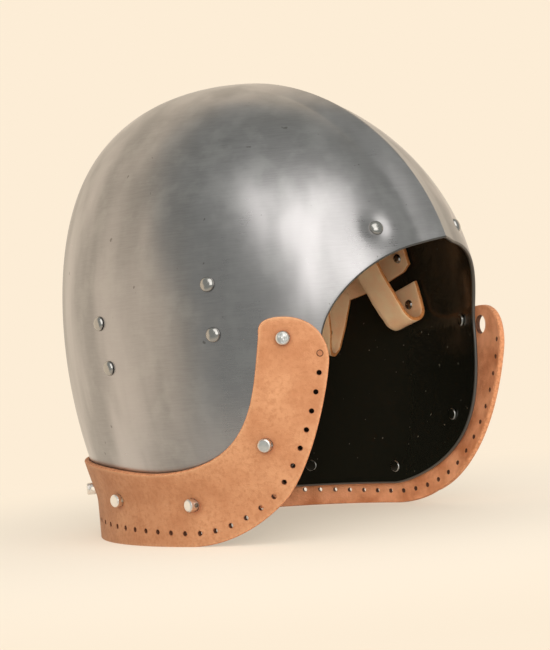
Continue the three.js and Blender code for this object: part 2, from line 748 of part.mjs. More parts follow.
function liningBore(girth, height) {
  const radius = RIVET_SHANK_RADIUS + SEAT_GAP;
  const deepest = -STEEL_THICKNESS - STRAP_CLEARANCE - LINING_THICKNESS - BROW_TURN_RADIUS;
  return boreCutter(radius, deepest, CUT_OVERRUN, BORE_SIDES, placeFrame(girth, height));
}

// Crown straps: riveted to the wall, turned inwards below the rivet and led up to the lace

const LACE_HEIGHT = EAR_HEIGHT + CROWN_RISE - LACE_DROP;

function strapCentreLine(strap) {
  const girth = strap.sign * strap.girth;
  const frame = placeFrame(girth, strap.height);
  const [sideways, outwards, third] = [0, 1, 2].map((axis) =>
    new THREE.Vector3().setFromMatrixColumn(frame, axis),
  );
  const lean = -strap.sign * strap.lean;
  const across = sideways.clone().multiplyScalar(Math.cos(lean));
  across.addScaledVector(third, -Math.sin(lean));
  const down = third.clone().multiplyScalar(Math.cos(lean));
  down.addScaledVector(sideways, Math.sin(lean));
  const depth = STEEL_THICKNESS + STRAP_CLEARANCE + LINING_THICKNESS / 2;
  const onWall = (drop) =>
    placePoint(girth + drop * Math.sin(lean), strap.height + drop * down.z, -depth);
  const points = [onWall(-STRAP_END), onWall(-STRAP_END / 2), onWall(0), onWall(strap.drop)];
  const wallEnd = onWall(strap.drop);
  for (let i = 1; i <= STRAP_TURN_STEPS; i++) {
    const turn = ((Math.PI - STRAP_TILT) * i) / STRAP_TURN_STEPS;
    points.push(
      wallEnd
        .clone()
        .addScaledVector(down, strap.turn * Math.sin(turn))
        .addScaledVector(outwards, -strap.turn * (1 - Math.cos(turn))),
    );
  }
  const { heading, sign } = strap;
  const radial = new THREE.Vector3(sign * Math.sin(heading), -Math.cos(heading), 0);
  const crown = new THREE.Vector3(0, LACE_SETBACK, LACE_HEIGHT);
  const tip = crown.clone().addScaledVector(radial, LACE_RING_RADIUS - STRAP_TIP_REACH);
  const legStart = points[points.length - 1];
  const legEnd = tip.clone().addScaledVector(radial, 2 * STRAP_TIP_REACH);
  const sweep = down.clone().multiplyScalar(-Math.cos(STRAP_TILT));
  sweep.addScaledVector(outwards, -Math.sin(STRAP_TILT));
  const leg = new THREE.CubicBezierCurve3(
    legStart,
    legStart.clone().addScaledVector(sweep, strap.sweep),
    legEnd.clone().addScaledVector(radial, STRAP_ARCH),
    legEnd,
  );
  for (let i = 1; i <= STRAP_LEG_STEPS; i++) points.push(leg.getPointAt(i / STRAP_LEG_STEPS));
  const legStartIndex = points.length - STRAP_LEG_STEPS - 1;
  points.push(tip);
  const tipAcross = new THREE.Vector3(0, 0, 1).cross(radial).normalize();
  if (tipAcross.dot(across) < 0) tipAcross.negate();
  return { points, across, tipAcross, tip, radial, legStartIndex };
}

function buildStraps() {
  for (const strap of straps) {
    const { points, across, tipAcross, tip, radial, legStartIndex } = strapCentreLine(strap);
    const last = points.length - 1;
    const stations = points.map((point, i) => {
      const along = points[Math.min(i + 1, last)].clone().sub(points[Math.max(i - 1, 0)]).normalize();
      const legShare = Math.max(i - legStartIndex, 0) / (last - legStartIndex);
      const side = across.clone().lerp(tipAcross, legShare);
      side.addScaledVector(along, -side.dot(along)).normalize();
      const facing = along.clone().cross(side).normalize();
      const narrowing = Math.max(legShare - STRAP_TAPER_SHARE, 0) / (1 - STRAP_TAPER_SHARE);
      const width = THREE.MathUtils.lerp(STRAP_WIDTH, STRAP_TIP_WIDTH, narrowing);
      return { point, side, facing, width };
    });
    const pointAt = (row, column, face) => {
      const { point, side, facing, width } = stations[row];
      return point
        .clone()
        .addScaledVector(side, width * (column - 1 / 2))
        .addScaledVector(facing, LINING_THICKNESS * (face - 1 / 2));
    };
    let solid = sheetSolid(last, 1, pointAt);
    solid = solid.subtract(liningBore(strap.sign * strap.girth, strap.height));
    const lacePlace = tip.clone().addScaledVector(radial, STRAP_TIP_REACH);
    const upright = new THREE.Matrix4().makeRotationX(Math.PI / 2).setPosition(lacePlace);
    const reach = LINING_THICKNESS + CUT_OVERRUN;
    solid = solid.subtract(boreCutter(LACE_HOLE_RADIUS, -reach, reach, BORE_SIDES, upright));
    addMesh(strap.name, solid, LINING_LEATHER);
  }
}

// Crown lace: a wavy ring that dips through the tip of each strap in turn

function buildLace() {
  const centreAt = (step) => {
    const turn = (2 * Math.PI * (step % LACE_STEPS)) / LACE_STEPS;
    return new THREE.Vector3(
      LACE_RING_RADIUS * Math.sin(turn),
      LACE_SETBACK - LACE_RING_RADIUS * Math.cos(turn),
      LACE_HEIGHT + LACE_WAVE * Math.cos(LACE_WAVES * turn),
    );
  };
  const rings = Array.from({ length: LACE_STEPS + 1 }, (_, step) => {
    const centre = centreAt(step);
    const along = centreAt(step + 1).sub(centreAt(step + LACE_STEPS - 1)).normalize();
    const side = new THREE.Vector3(0, 0, 1).cross(along).normalize();
    const up = along.clone().cross(side);
    return Array.from({ length: LACE_SIDES + 1 }, (_, k) => {
      const around = (2 * Math.PI * (k % LACE_SIDES)) / LACE_SIDES;
      return centre
        .clone()
        .addScaledVector(side, LACE_RADIUS * Math.cos(around))
        .addScaledVector(up, -LACE_RADIUS * Math.sin(around));
    });
  });
  addMesh("crown_lace", patchSolid([rings]), LACE_LEATHER);
}

buildSkull();
buildBand();
buildStuds();
buildRivets();
buildHeadband();
buildStraps();
buildLace();

// The origin is the middle of the whole helmet on the surface that it stands on
const helmet = new THREE.Group();
helmet.add(part);
const extent = new THREE.Box3().setFromObject(helmet, true);
const middle = extent.getCenter(new THREE.Vector3());
part.position.set(-middle.x, -middle.y, -extent.min.z);

export default helmet;
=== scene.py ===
"""Bascinet: the finished surfaces, finishes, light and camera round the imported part.

Lengths inside the form functions are millimetres in the fitting frame, in which height is
measured as in the part's source; to_row() turns them into metres in the row frame. A place on
the helmet is a girth, round its widest section from the brow (plus on the wearer's left), and
a height.
"""

import math

import bmesh
import bpy
import numpy as np
from mathutils import Matrix, Vector


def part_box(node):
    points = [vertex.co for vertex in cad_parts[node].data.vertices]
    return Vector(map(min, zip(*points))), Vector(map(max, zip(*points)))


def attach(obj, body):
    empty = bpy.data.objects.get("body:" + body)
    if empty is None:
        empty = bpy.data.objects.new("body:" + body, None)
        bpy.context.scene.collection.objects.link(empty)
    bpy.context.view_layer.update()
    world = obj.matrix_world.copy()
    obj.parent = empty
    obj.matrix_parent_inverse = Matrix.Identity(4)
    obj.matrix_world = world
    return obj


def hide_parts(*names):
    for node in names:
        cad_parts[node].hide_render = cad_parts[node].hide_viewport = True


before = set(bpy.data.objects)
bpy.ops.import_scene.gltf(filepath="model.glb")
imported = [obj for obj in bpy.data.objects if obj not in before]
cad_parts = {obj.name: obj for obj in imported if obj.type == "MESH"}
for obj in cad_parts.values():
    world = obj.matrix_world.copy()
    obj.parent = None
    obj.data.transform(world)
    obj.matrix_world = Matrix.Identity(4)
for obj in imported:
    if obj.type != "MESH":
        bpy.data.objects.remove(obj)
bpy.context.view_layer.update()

# Skull form, as in the part's source
HALF_WIDTH = 102.0
FRONT_DEPTH = 118.8
BACK_DEPTH = 121.7
EAR_HEIGHT = 109.8
CROWN_RISE = 128.7
CROWN_SETBACK = 16.8
SIDE_INSET = 24.2
BACK_INSET = 19.8
FRONT_FLARE = 14.8
CROWN_SIDE_FULLNESS = 0.036
CROWN_BACK_FULLNESS = 0.177
FRONT_CORNER = 0.016
STEEL = 2.0
RIDGE_HEIGHT = 5.0
RIDGE_HALF_WIDTH = 16.0
RIDGE_POWER = 1.3
RIDGE_FADE_FRONT = 130.0
RIDGE_FADE_BACK = 40.0
# Corners of the steel's edge: the brow, the side of the face opening and its foot
BROW_HEIGHT = 142.0
FACE_SIDE = (77.2, 95.6)
FACE_FOOT = (160.0, 10.4)

# Band form
BAND_GAP = 0.4
BAND_THICKNESS = 2.8
BAND_TAB = (97.0, 110.8)
BAND_FRONT = (74.9, 90.0)
BAND_REAR = (107.6, 102.5)
BAND_SIDE = (181.6, 37.2)
BAND_FOOT = (165.6, -1.0)
BAND_BACK_HEIGHT = 43.7
BAND_HANG_HEIGHT = 22.0
BAND_BEND = 5.0  # the leather turns from the steel to the vertical over this height
LEFT_TAB_DROP = 3.3
TAB_LIFT = 10.0
TAB_LIFT_START = 6.3
TAB_LIFT_POWER = 0.52
SPRING_FADE = (114.0, 163.0)
TAB_TWIST = 0.28
HOLE_RADIUS = 1.3
HOLE_SPACING = 9.48
HOLE_INSET = 4.1
HOLE_BACK_INSET = 11.8
HOLE_START = 0.091
HOLE_LEVEL = 0.8
STUD_HOLE = 3.45
STRETCHED_HOLE = 5.2
SLIPPED = (1.0, -0.2)  # the sprung left tab has its hole aside of its stud
HOLE_SIDES = 14
BAND_CUT = 6.0  # how far the leather's cutters reach from its middle
RING_WIDTH = 0.45  # the punch's ring at the near tab's first sewing hole
RING_DEPTH = 0.4
RING_SIDES = 28
STUD_STAIN = (0.9, 3.2)  # strength, and the distance over which it falls by e
HOLE_STAIN = (0.75, 0.9)
RIM_FALL = 1.6
HOLE_SHADE_FADE = (1.6, 3.4)  # the painted shade on the steel behind each sewing hole

# Fasteners
STUD_RADIUS = 3.3
STUD_PROUD = 4.9
STUD_CHAMFER = 0.6
STUD_SHANK = 1.9
STUD_CORD_HOLE = 1.2
STUD_CORD_HOLE_INSET = 3.4
STUD_BUTT = 3.2
STUD_SHARES = (0.0059, 0.258, 0.4632, 0.6478, 0.8255, 1.0)
STUD_INSETS = (10.35, 19.2, 21.0, 23.5, 26.5, 25.0)
STUD_SHORTER = {"stud_left_1": 3.2}
STUD_SIDES = 64
STUD_PAINTED = (0, 1, 7)  # steps of the profile: the end's flat and the face on the steel
STUD_HOLE_SIDES = 40
SHANK_SIDES = 20
BORE_SIDES = 24
# Levels from the steel's outer face between which cutters reach
SHANK_CUT = (-8, 6)
STUD_CUT = (-5, 34)
STUD_LEANS = {  # radians, about the upright
    "stud_right_3": -0.28, "stud_right_4": 0.29, "stud_right_5": 0.06,
    "stud_left_2": 0.07, "stud_left_3": -0.1, "stud_left_4": 0.12,
}
RIVET_HEAD = 3.8
RIVET_RISE = 2.3
RIVET_SHANK = 1.6
RIVET_BUTT = 2.8
RIVET_SIDES = 56
SEAT = 0.3
DIMPLE_WIDTH = 6.0
BROW_DIMPLE = 1.6
SIDE_DIMPLE = 0.25
# Each rivet row: girth, height, rise and drift to the upper rivet
TEMPLE = {"right": (130.8, 104.8, 25.0, 0.8), "left": (146.0, 111.4, 27.6, 3.1)}
BACK = {"right": (201.6, 92.1, 23.2, 4.8), "left": (208.0, 98.8, 24.0, 4.8)}
BROW = (38.8, 150.9)

# Lining
LINING = 2.0
HEADBAND_WIDTH = 18.0
HEADBAND_END = 7.0
HEADBAND_END_WIDTH = 12.0
HEADBAND_END_RISE = 1.4
HEADBAND_BACK_SAG = 3.5
HEADBAND_CLEARANCE = 0.9
HEADBAND_NARROWING = 9.0
RIBBON_BULGE_SHARE = 0.35  # of half the thickness
RIBBON_ACROSS = 9  # points across each face, and round each edge
RIBBON_ROUND = 4
STRAP_WIDTH = 19.0
STRAP_TIP_WIDTH = 10.0
STRAP_TAPER = 0.45
STRAP_CLEARANCE = 1.2
STRAP_END = 11.0
STRAP_DROP = 4.0
BROW_STRAP_DROP = 0.8
STRAP_TURN = 7.3
BROW_TURN = 2.1
STRAP_TILT = 0.45
STRAP_SWEEP = 38.0
BACK_STRAP_SWEEP = 75.0
STRAP_ARCH = 44.0
STRAP_WAVES = ((0.25, 0.31), (0.2, 0.83))  # millimetres of its width, and radians a station
TEMPLE_LEAN = 0.27
BACK_LEAN = -0.3
BACK_LEFT_RISE = 15.0  # the far back strap reaches up to the headband
LACE_HEIGHT = EAR_HEIGHT + CROWN_RISE - 38.0
LACE_SETBACK = 8.4
LACE_RING = 15.0
LACE_RADIUS = 1.1
LACE_WAVE = 6.0
LACE_STATIONS = 180
LACE_SIDES = 12
TIP_REACH = 6.0

SIDES = {"right": -1.0, "left": 1.0}
ALONG_Z = np.array([0.0, 0.0, 1.0])


# Form functions

def unit(v):
    """Vectors divided by their lengths."""
    return v / np.maximum(np.linalg.norm(v, axis=-1, keepdims=True), 1e-12)


def smooth(low, high, x):
    """0 at low, 1 at high, and t squared times (3 - 2t) between them."""
    t = np.clip((x - low) / (high - low), 0, 1)
    return t * t * (3 - 2 * t)


def latitude_at(height):
    """The arcsine of the height's share of the crown's rise, or the share itself below the ear."""
    share = (np.asarray(height, float) - EAR_HEIGHT) / CROWN_RISE
    return np.where(share > 0, np.arcsin(np.clip(share, 0, 1)), share)


def plain_point(angle, latitude):
    """The skull without its ridge: at each latitude a front and a back half ellipse that share
    one width. Both shrink with the cosine of latitude above the ear, a little fuller near the
    crown, and draw in with the square of the drop below it."""
    angle, latitude = np.broadcast_arrays(np.asarray(angle, float), np.asarray(latitude, float))
    rise = np.maximum(np.sin(latitude), 0)
    drop = np.maximum(-CROWN_RISE * latitude, 0) / EAR_HEIGHT
    dome = np.where(latitude > 0, np.cos(latitude), 1.0)
    width = (HALF_WIDTH - SIDE_INSET * drop**2) * dome * (1 + CROWN_SIDE_FULLNESS * rise**2)
    front = (FRONT_DEPTH + FRONT_FLARE * drop**2) * dome
    back = (BACK_DEPTH - BACK_INSET * drop**2) * dome * (1 + CROWN_BACK_FULLNESS * rise**2)
    faces_front = np.cos(angle) > 0
    corner = 1 - np.where(faces_front, FRONT_CORNER, 0) * np.sin(2 * angle) ** 2
    depth = np.where(faces_front, front, back)
    height = EAR_HEIGHT + CROWN_RISE * np.where(latitude > 0, np.sin(latitude), latitude)
    level = CROWN_SETBACK * rise**2 - depth * np.cos(angle) * corner
    return np.stack([width * np.sin(angle) * corner, level, height], -1)


def outward(angle, latitude):
    """The cross product of the slopes along the girth and up the wall, by differences."""
    step = 1e-3
    along = plain_point(angle + step, latitude) - plain_point(angle - step, latitude)
    up = plain_point(angle, latitude + step) - plain_point(angle, latitude - step)
    normal = unit(np.cross(along, up))
    near_top = (np.asarray(latitude) > math.pi / 2 - 2 * step)[..., None]
    return np.where(near_top, ALONG_Z, normal)


def ridge_lift(point):
    """A crease along the middle: its height falls with a power of the distance from the middle
    and fades from the brow to behind the crown."""
    nearness = np.maximum(1 - np.abs(point[..., 0]) / RIDGE_HALF_WIDTH, 0)
    fade = 1 - smooth(-RIDGE_FADE_FRONT, RIDGE_FADE_BACK, point[..., 1])
    return RIDGE_HEIGHT * nearness**RIDGE_POWER * fade


DIMPLES = []  # (middle, depth) of the dents that the hammered rivets sit in


def dimple_depth(point):
    """The depth of each dent times e to the minus square of the distance over its width."""
    depth = np.zeros(point.shape[:-1])
    for middle, deepest in DIMPLES:
        away = np.sum((point - middle) ** 2, axis=-1)
        depth += deepest * np.exp(-away / DIMPLE_WIDTH**2)
    return depth


def skull_point(angle, latitude, outside):
    """The plain form moved out along its normal by the ridge and the given distance, and in by
    the dents round the rivets."""
    point = plain_point(angle, latitude)
    lift = ridge_lift(point) - dimple_depth(point) + outside
    return point + outward(angle, latitude) * lift[..., None]


def lengths_along(points):
    """The length of a line of points up to each of them."""
    return np.concatenate([[0], np.cumsum(np.linalg.norm(np.diff(points, axis=0), axis=1))])


TURNS = np.linspace(0, math.pi, 721)
GIRTHS = lengths_along(plain_point(TURNS, 0.0))
HALF_GIRTH = GIRTHS[-1]


def angle_at(girth):
    """The angle at which the widest section has that length from the brow."""
    girth = np.asarray(girth, float)
    return np.sign(girth) * np.interp(np.abs(girth), GIRTHS, TURNS)


def place(girth, height, outside=0.0):
    """A point at a distance outside the steel at a girth and a height."""
    girth, height, outside = np.broadcast_arrays(*map(np.asarray, (girth, height, outside)))
    return skull_point(angle_at(girth), latitude_at(height), outside.astype(float))


def place_axes(girth, height):
    """At a place: along the girth, outwards, and roughly down."""
    outwards = outward(angle_at(girth), latitude_at(height))
    sideways = unit(np.cross(ALONG_Z, outwards))
    return sideways, outwards, np.cross(sideways, outwards)


SKULL_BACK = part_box("skull")[1].y * 1000
ROW_SHIFT = np.array([0.0, SKULL_BACK - BACK_DEPTH, -BAND_FOOT[1]])


def to_row(points):
    """Millimetres in the fitting frame to metres in the row frame."""
    return (np.asarray(points, float) + ROW_SHIFT) / 1000


# Edges as curves in girth and height

CURVE_POINTS = 120


def bezier(*corners):
    """A cubic from four corners."""
    t = np.linspace(0, 1, CURVE_POINTS)[:, None]
    a, b, c, d = np.array(corners, float)
    return (1 - t) ** 3 * a + 3 * (1 - t) ** 2 * t * b + 3 * (1 - t) * t**2 * c + t**3 * d


def straight(start, end):
    """Even points from start to end."""
    return np.linspace(start, end, CURVE_POINTS)


class Edge:
    """Curves joined end to end, read by the share of their whole length."""

    def __init__(self, *curves):
        self.points = np.vstack([curves[0]] + [c[1:] for c in curves[1:]])
        self.lengths = lengths_along(self.points)
        self.length = self.lengths[-1]

    def at(self, share):
        """The point at each share."""
        wanted = np.asarray(share, float) * self.length
        return np.stack([np.interp(wanted, self.lengths, self.points[:, k]) for k in (0, 1)], -1)

    def inset(self, share, depth):
        """A point set in from the curve at each share, square to it."""
        step = 1e-3
        share = np.asarray(share, float)
        along = unit(self.at(np.minimum(share + step, 1)) - self.at(np.maximum(share - step, 0)))
        inwards = np.stack([-along[..., 1], along[..., 0]], -1)
        return self.at(share) + inwards * np.asarray(depth, float)[..., None]


steel_edge = Edge(
    bezier((0, BROW_HEIGHT), (52, BROW_HEIGHT), (FACE_SIDE[0], 112.6), FACE_SIDE),
    bezier(FACE_SIDE, (FACE_SIDE[0], 35.6), (146, FACE_FOOT[1]), FACE_FOOT),
    straight(FACE_FOOT, (HALF_GIRTH, FACE_FOOT[1])),
)
band_outer = Edge(
    bezier(BAND_TAB, (84, 110.8), (74.9, 103), BAND_FRONT),
    bezier(BAND_FRONT, (74.9, 81.6), (99.6, BAND_FOOT[1]), BAND_FOOT),
    straight(BAND_FOOT, (HALF_GIRTH, BAND_FOOT[1])),
)
band_inner = Edge(
    bezier(BAND_TAB, (106, 110.8), (107.6, 107.5), BAND_REAR),
    bezier(BAND_REAR, (114.6, 66.5), (123.6, 37.2), BAND_SIDE),
    bezier(
        BAND_SIDE, (210.6, 37.2),
        (HALF_GIRTH - 118, BAND_BACK_HEIGHT), (HALF_GIRTH, BAND_BACK_HEIGHT),
    ),
)


def spring_share(girth, height):
    """0 at the root of the left tab and 1 at its end, by a power of the height, fading to 0
    towards the back; 0 on the right."""
    share = np.maximum((height - TAB_LIFT_START) / (BAND_TAB[1] - TAB_LIFT_START), 0)
    fade = 1 - smooth(*SPRING_FADE, girth)
    return np.where(girth > 0, share**TAB_LIFT_POWER * fade, 0.0)


def band_point(girth, height, depth):
    """The leather, by depth from its inner face. Down to the hanging height it follows the
    steel; below, it hangs straight, with a soft bend between. The left tab stands off the
    steel by its spring share, more at its front edge, and ends a little lower."""
    above = height - BAND_HANG_HEIGHT
    on_steel = BAND_HANG_HEIGHT + 0.5 * (above + np.sqrt(above**2 + BAND_BEND**2 / 4))
    half_tab = (BAND_REAR[0] - BAND_FRONT[0]) / 2
    off_centre = np.clip((BAND_FRONT[0] + half_tab - girth) / half_tab, -1, 1)
    spring = spring_share(girth, height)
    lift = TAB_LIFT * spring * (1 + TAB_TWIST * off_centre)
    angle, latitude = angle_at(girth), latitude_at(on_steel)
    normal = outward(angle, latitude)
    level = unit(normal * [1, 1, 0])
    hanging = smooth(BAND_BEND, -BAND_BEND, above)[..., None]
    thick = unit(normal * (1 - hanging) + level * hanging)
    point = skull_point(angle, latitude, BAND_GAP + lift) + thick * np.asarray(depth)[..., None]
    point[..., 2] += height - on_steel - LEFT_TAB_DROP * spring
    point[..., 2] = np.maximum(point[..., 2], BAND_FOOT[1])
    return point


# Meshes

def grid_faces(rows, columns, wrap_rows=False, wrap_columns=False):
    """Quads of a grid of rows by columns points, whose rows run down and whose columns run to
    the right as seen from outside; either way may close on itself."""
    r = np.arange(rows if wrap_rows else rows - 1)
    c = np.arange(columns if wrap_columns else columns - 1)
    r, c = np.meshgrid(r, c, indexing="ij")
    down, right = (r + 1) % rows, (c + 1) % columns
    corners = [r * columns + c, down * columns + c, down * columns + right, r * columns + right]
    return np.stack(corners, -1).reshape(-1, 4)


def make_mesh(name, points, faces, looks=(), slots=None):
    """A mesh object from points in fitting millimetres, quads, its materials and the slot of
    each quad."""
    mesh = bpy.data.meshes.new(name)
    mesh.from_pydata(to_row(points.reshape(-1, 3)).tolist(), [], faces.tolist())
    if slots is not None:
        mesh.polygons.foreach_set("material_index", np.asarray(slots, np.int32))
    for look in looks:
        mesh.materials.append(LOOKS[look])
    weld(mesh)
    mesh.polygons.foreach_set("use_smooth", np.ones(len(mesh.polygons), bool))
    mesh.validate()
    piece = bpy.data.objects.new(name, mesh)
    bpy.context.scene.collection.objects.link(piece)
    return piece


def weld(mesh):
    """Merges points that meet and turns the faces outwards."""
    work = bmesh.new()
    work.from_mesh(mesh)
    bmesh.ops.remove_doubles(work, verts=work.verts, dist=2e-6)
    bmesh.ops.dissolve_degenerate(work, edges=work.edges, dist=1e-6)
    bmesh.ops.recalc_face_normals(work, faces=work.faces)
    work.to_mesh(mesh)
    work.free()


def sharpen(piece, degrees):
    """Edges that turn by more than that are drawn sharp."""
    piece.data.set_sharp_from_angle(angle=math.radians(degrees))


def cut(piece, cutter):
    """Takes the cutter's solid out of the piece."""
    modifier = piece.modifiers.new("cut", "BOOLEAN")
    modifier.operation = "DIFFERENCE"
    modifier.solver = "MANIFOLD"
    modifier.object = cutter
    bpy.context.view_layer.update()
    evaluated = piece.evaluated_get(bpy.context.evaluated_depsgraph_get())
    finished = bpy.data.meshes.new_from_object(evaluated)
    piece.modifiers.clear()
    piece.data = finished
    bpy.data.objects.remove(cutter)


def full_turn(steps):
    """Even angles round a circle."""
    return np.linspace(0, 2 * math.pi, steps, endpoint=False)


def turned(profile, sides):
    """A profile of radius and level turned round the level axis: radius times the cosine and
    sine of the turn. Its points come as rows by sides, its quads closed round the axis."""
    profile = np.array(profile, float)
    turn = full_turn(sides)
    radius, level = profile[:, :1], profile[:, 1:]
    level = np.broadcast_to(level, (len(profile), sides))
    points = np.stack([radius * np.cos(turn), level, radius * np.sin(turn)], -1)
    return points, grid_faces(len(profile), sides, wrap_columns=True)


def prism(radius, low, high, sides):
    """A round cutter between two levels."""
    return turned([(0, low), (radius, low), (radius, high), (0, high)], sides)


def put(points, girth, height, axes=None):
    """Local points (along the girth, outwards, down) at a place on the steel."""
    axes = np.stack(place_axes(girth, height) if axes is None else axes)
    return points @ axes + place(girth, height)


def stud_axes(name, girth, height):
    """A stud points level, turned about the upright by its lean."""
    outwards = unit(place_axes(girth, height)[1] * [1, 1, 0])
    sideways = np.cross(ALONG_Z, outwards)
    lean = STUD_LEANS.get(name, 0.0)
    outwards = outwards * math.cos(lean) + sideways * math.sin(lean)
    return np.cross(ALONG_Z, outwards), outwards, -ALONG_Z


# Shader values

class Value:
    """A socket of a material's nodes, on which sums, products and mixes make further nodes."""

    def __init__(self, tree, socket=None):
        self.tree, self.socket = tree, socket

    def make(self, kind, settings=(), inputs=(), output=0):
        """Any node: its settings first, then each input's plain value or link."""
        node = self.tree.nodes.new("ShaderNode" + kind)
        for key, setting in dict(settings).items():
            setattr(node, key, setting)
        self.feed(node, dict(inputs))
        return Value(self.tree, node.outputs[output] if len(node.outputs) else None)

    def feed(self, node, inputs):
        """Gives each input of a node its plain value or link."""
        for key, value in inputs.items():
            if isinstance(value, Value):
                self.tree.links.new(value.socket, node.inputs[key])
            else:
                node.inputs[key].default_value = value

    def maths(self, operation, *others, kind="Math", output=0):
        """A node that works on this value and the others."""
        inputs = dict(enumerate((self, *others)))
        return self.make(kind, {"operation": operation}, inputs, output)

    def __add__(self, other):
        return self.maths("ADD", other)

    def __sub__(self, other):
        return self.maths("SUBTRACT", other)

    def __mul__(self, other):
        return self.maths("MULTIPLY", other)

    __radd__ = __add__

    def fade(self, low, high):
        """0 where this is at low and 1 at high, smooth between them."""
        settings = {"interpolation_type": "SMOOTHSTEP"}
        return self.make("MapRange", settings, {"Value": self, 1: low, 2: high})

    def stretch(self, *scales):
        """This vector, scaled along each axis."""
        return self.maths("MULTIPLY", scales, kind="VectorMath")

    def noise(self, scale, detail=3.0, roughness=0.55):
        """Noise about a half, at this vector."""
        inputs = {"Vector": self, "Scale": scale, "Detail": detail, "Roughness": roughness}
        return self.make("TexNoise", (), inputs)

    def tint(self, first, second):
        """A colour: the first where this is 0, the second where it is 1."""
        inputs = {0: self, 6: colour(first), 7: colour(second)}
        return self.make("Mix", {"data_type": "RGBA"}, inputs, output=2)


def colour(value):
    """A link as it is; an sRGB hex colour as linear red, green, blue and alpha."""
    if isinstance(value, Value):
        return value
    parts = [int(value[i : i + 2], 16) / 255 for i in (1, 3, 5)]
    return [p / 12.92 if p <= 0.04045 else ((p + 0.055) / 1.055) ** 2.4 for p in parts] + [1.0]


def finish_look(name, build, *values):
    """A material, whose inputs build(place, attribute, *values) returns."""
    material = bpy.data.materials.new(name)
    material.use_nodes = True
    tree = material.node_tree
    shader = tree.nodes["Principled BSDF"]
    start = Value(tree)

    def attribute(key):
        return start.make("Attribute", {"attribute_name": key}, output=2)

    inputs = build(start.make("TexCoord", output=3), attribute, *values)
    if "Bump" in inputs:
        height, depth = inputs.pop("Bump")
        relief = {"Height": height, "Distance": depth, "Strength": 1.0}
        inputs["Normal"] = start.make("Bump", (), relief)
    start.feed(shader, inputs)
    return material


# Finishes

def satin_steel(at, attribute):
    """Worked steel, rubbed along the girth: fine level lines, soft upright bands, partly wear and
    partly painted dark reflections, and the slight waves that the hammer left. Behind the sewing
    holes, where leather lies over it, it carries painted shade."""
    lines = at.stretch(0.05, 0.05, 1.0).noise(1700, 4.0, 0.7)
    strokes = at.stretch(0.12, 0.12, 1.0).noise(420, 3.0, 0.6)
    wear_and_reflection_bands = at.stretch(1.0, 1.0, 0.2).noise(32, 3.0, 0.5)
    broad_wear_and_reflection_bands = at.stretch(1.0, 1.0, 0.22).noise(10, 2.0, 0.5)
    waves = at.stretch(1.0, 1.0, 0.4).noise(19, 1.5, 0.4)
    patches = at.noise(70, 3.0, 0.6)
    pits = at.noise(230, 2.0, 0.4).fade(0.75, 0.78)
    # Upright bands of lighter and darker steel: partly wear, partly painted dark reflections
    shade = broad_wear_and_reflection_bands.fade(0.34, 0.66).tint("#a6a3a4", "#c4c0c1")
    shade = (wear_and_reflection_bands.fade(0.38, 0.66) * 0.75).tint(shade, "#918f8f")
    shade = (patches.fade(0.45, 0.7) * 0.25).tint(shade, "#c6c5c3")
    shade = (lines.fade(0.35, 0.65) * 0.12).tint(shade, "#cfcfce")
    shade = (pits * 0.5).tint(shade, "#57524c")
    rough = 0.33 + (wear_and_reflection_bands - 0.5) * 0.24 + (patches - 0.5) * 0.14 + (lines - 0.5) * 0.12
    relief = waves * 2.1 + lines * 0.016 + strokes * 0.01 - pits * 0.015
    return {
        # Painted shade: the steel behind the sewing holes is darkened towards a dark brown
        "Base Color": attribute("under").fade(0.2, 0.7).tint(shade, "#241c16"),
        "Metallic": 1.0,
        "Roughness": rough,
        "Bump": (relief, 0.001),
    }


def rim_steel(at, _):
    """The ground edge of the skull."""
    rough = 0.3 + at.noise(300) * 0.2
    return {"Base Color": colour("#716e6a"), "Metallic": 1.0, "Roughness": rough}


def black_paint(at, _):
    """Brushed black paint inside the skull, with specks of dust."""
    specks = at.noise(420, 1.0, 0.3).fade(0.77, 0.81)
    patches = at.noise(24, 3.0, 0.6)
    return {
        "Base Color": specks.tint("#1b1b15", "#6a6458"),
        "Roughness": 0.12 + patches * 0.16,
        "Specular IOR Level": 0.25,
        "Bump": (at.noise(90, 4.0, 0.6), 0.0003),
    }


def polished_steel(at, _, base, rough, dent):
    """Turned or hammered fastener steel."""
    marks = at.noise(700, 3.0, 0.6)
    dents = at.noise(210, 2.0, 0.5)
    return {
        "Base Color": colour(base),
        "Metallic": 1.0,
        "Roughness": rough + marks * 0.14,
        "Bump": (marks * 0.1 + dents, dent),
    }


def grain_leather(at, attribute):
    """The band's grain side: mottled tan, darker and greasy round the studs and the holes."""
    blotches = at.noise(48, 4.0, 0.6)
    fine = at.noise(420, 3.0, 0.65)
    pores = at.noise(1600, 2.0, 0.6)
    creases = at.stretch(1.0, 1.0, 2.2).noise(120, 4.0, 0.75)
    stain = attribute("stain") + (blotches - 0.5) * 0.35
    base = blotches.fade(0.22, 0.78).tint("#aa714b", "#c28d66")
    base = (fine.fade(0.42, 0.72) * 0.6).tint(base, "#a16a45")
    base = (stain.fade(0.35, 1.0) * 0.75).tint(base, "#8b4e30")
    base = (attribute("rim").fade(0.2, 1.0) * 0.55).tint(base, "#d7a981")
    return {
        "Base Color": base,
        "Roughness": 0.56 + fine * 0.22,
        "Bump": (creases * 0.5 + fine * 0.3 + pores * 0.2, 0.0008),
    }


def flesh_leather(at, attribute, light, dark, depth):
    """The rough side of leather: short fibres and uneven colour, paler round the holes."""
    blotches = at.noise(60, 4.0, 0.6)
    fibres = at.noise(900, 4.0, 0.7)
    base = blotches.fade(0.3, 0.72).tint(light, dark)
    base = (fibres.fade(0.5, 0.8) * 0.4).tint(base, dark)
    base = (attribute("stain").fade(0.35, 0.65) * 0.9).tint(base, "#fbdcb8")
    return {"Base Color": base, "Roughness": 0.86, "Bump": (fibres, depth)}


def cut_leather(at, _, light, dark):
    """A cut edge: fibres in two shades."""
    fibres = at.noise(700, 3.0, 0.6)
    base = fibres.fade(0.3, 0.75).tint(light, dark)
    return {"Base Color": base, "Roughness": 0.75, "Bump": (fibres, 0.0004)}


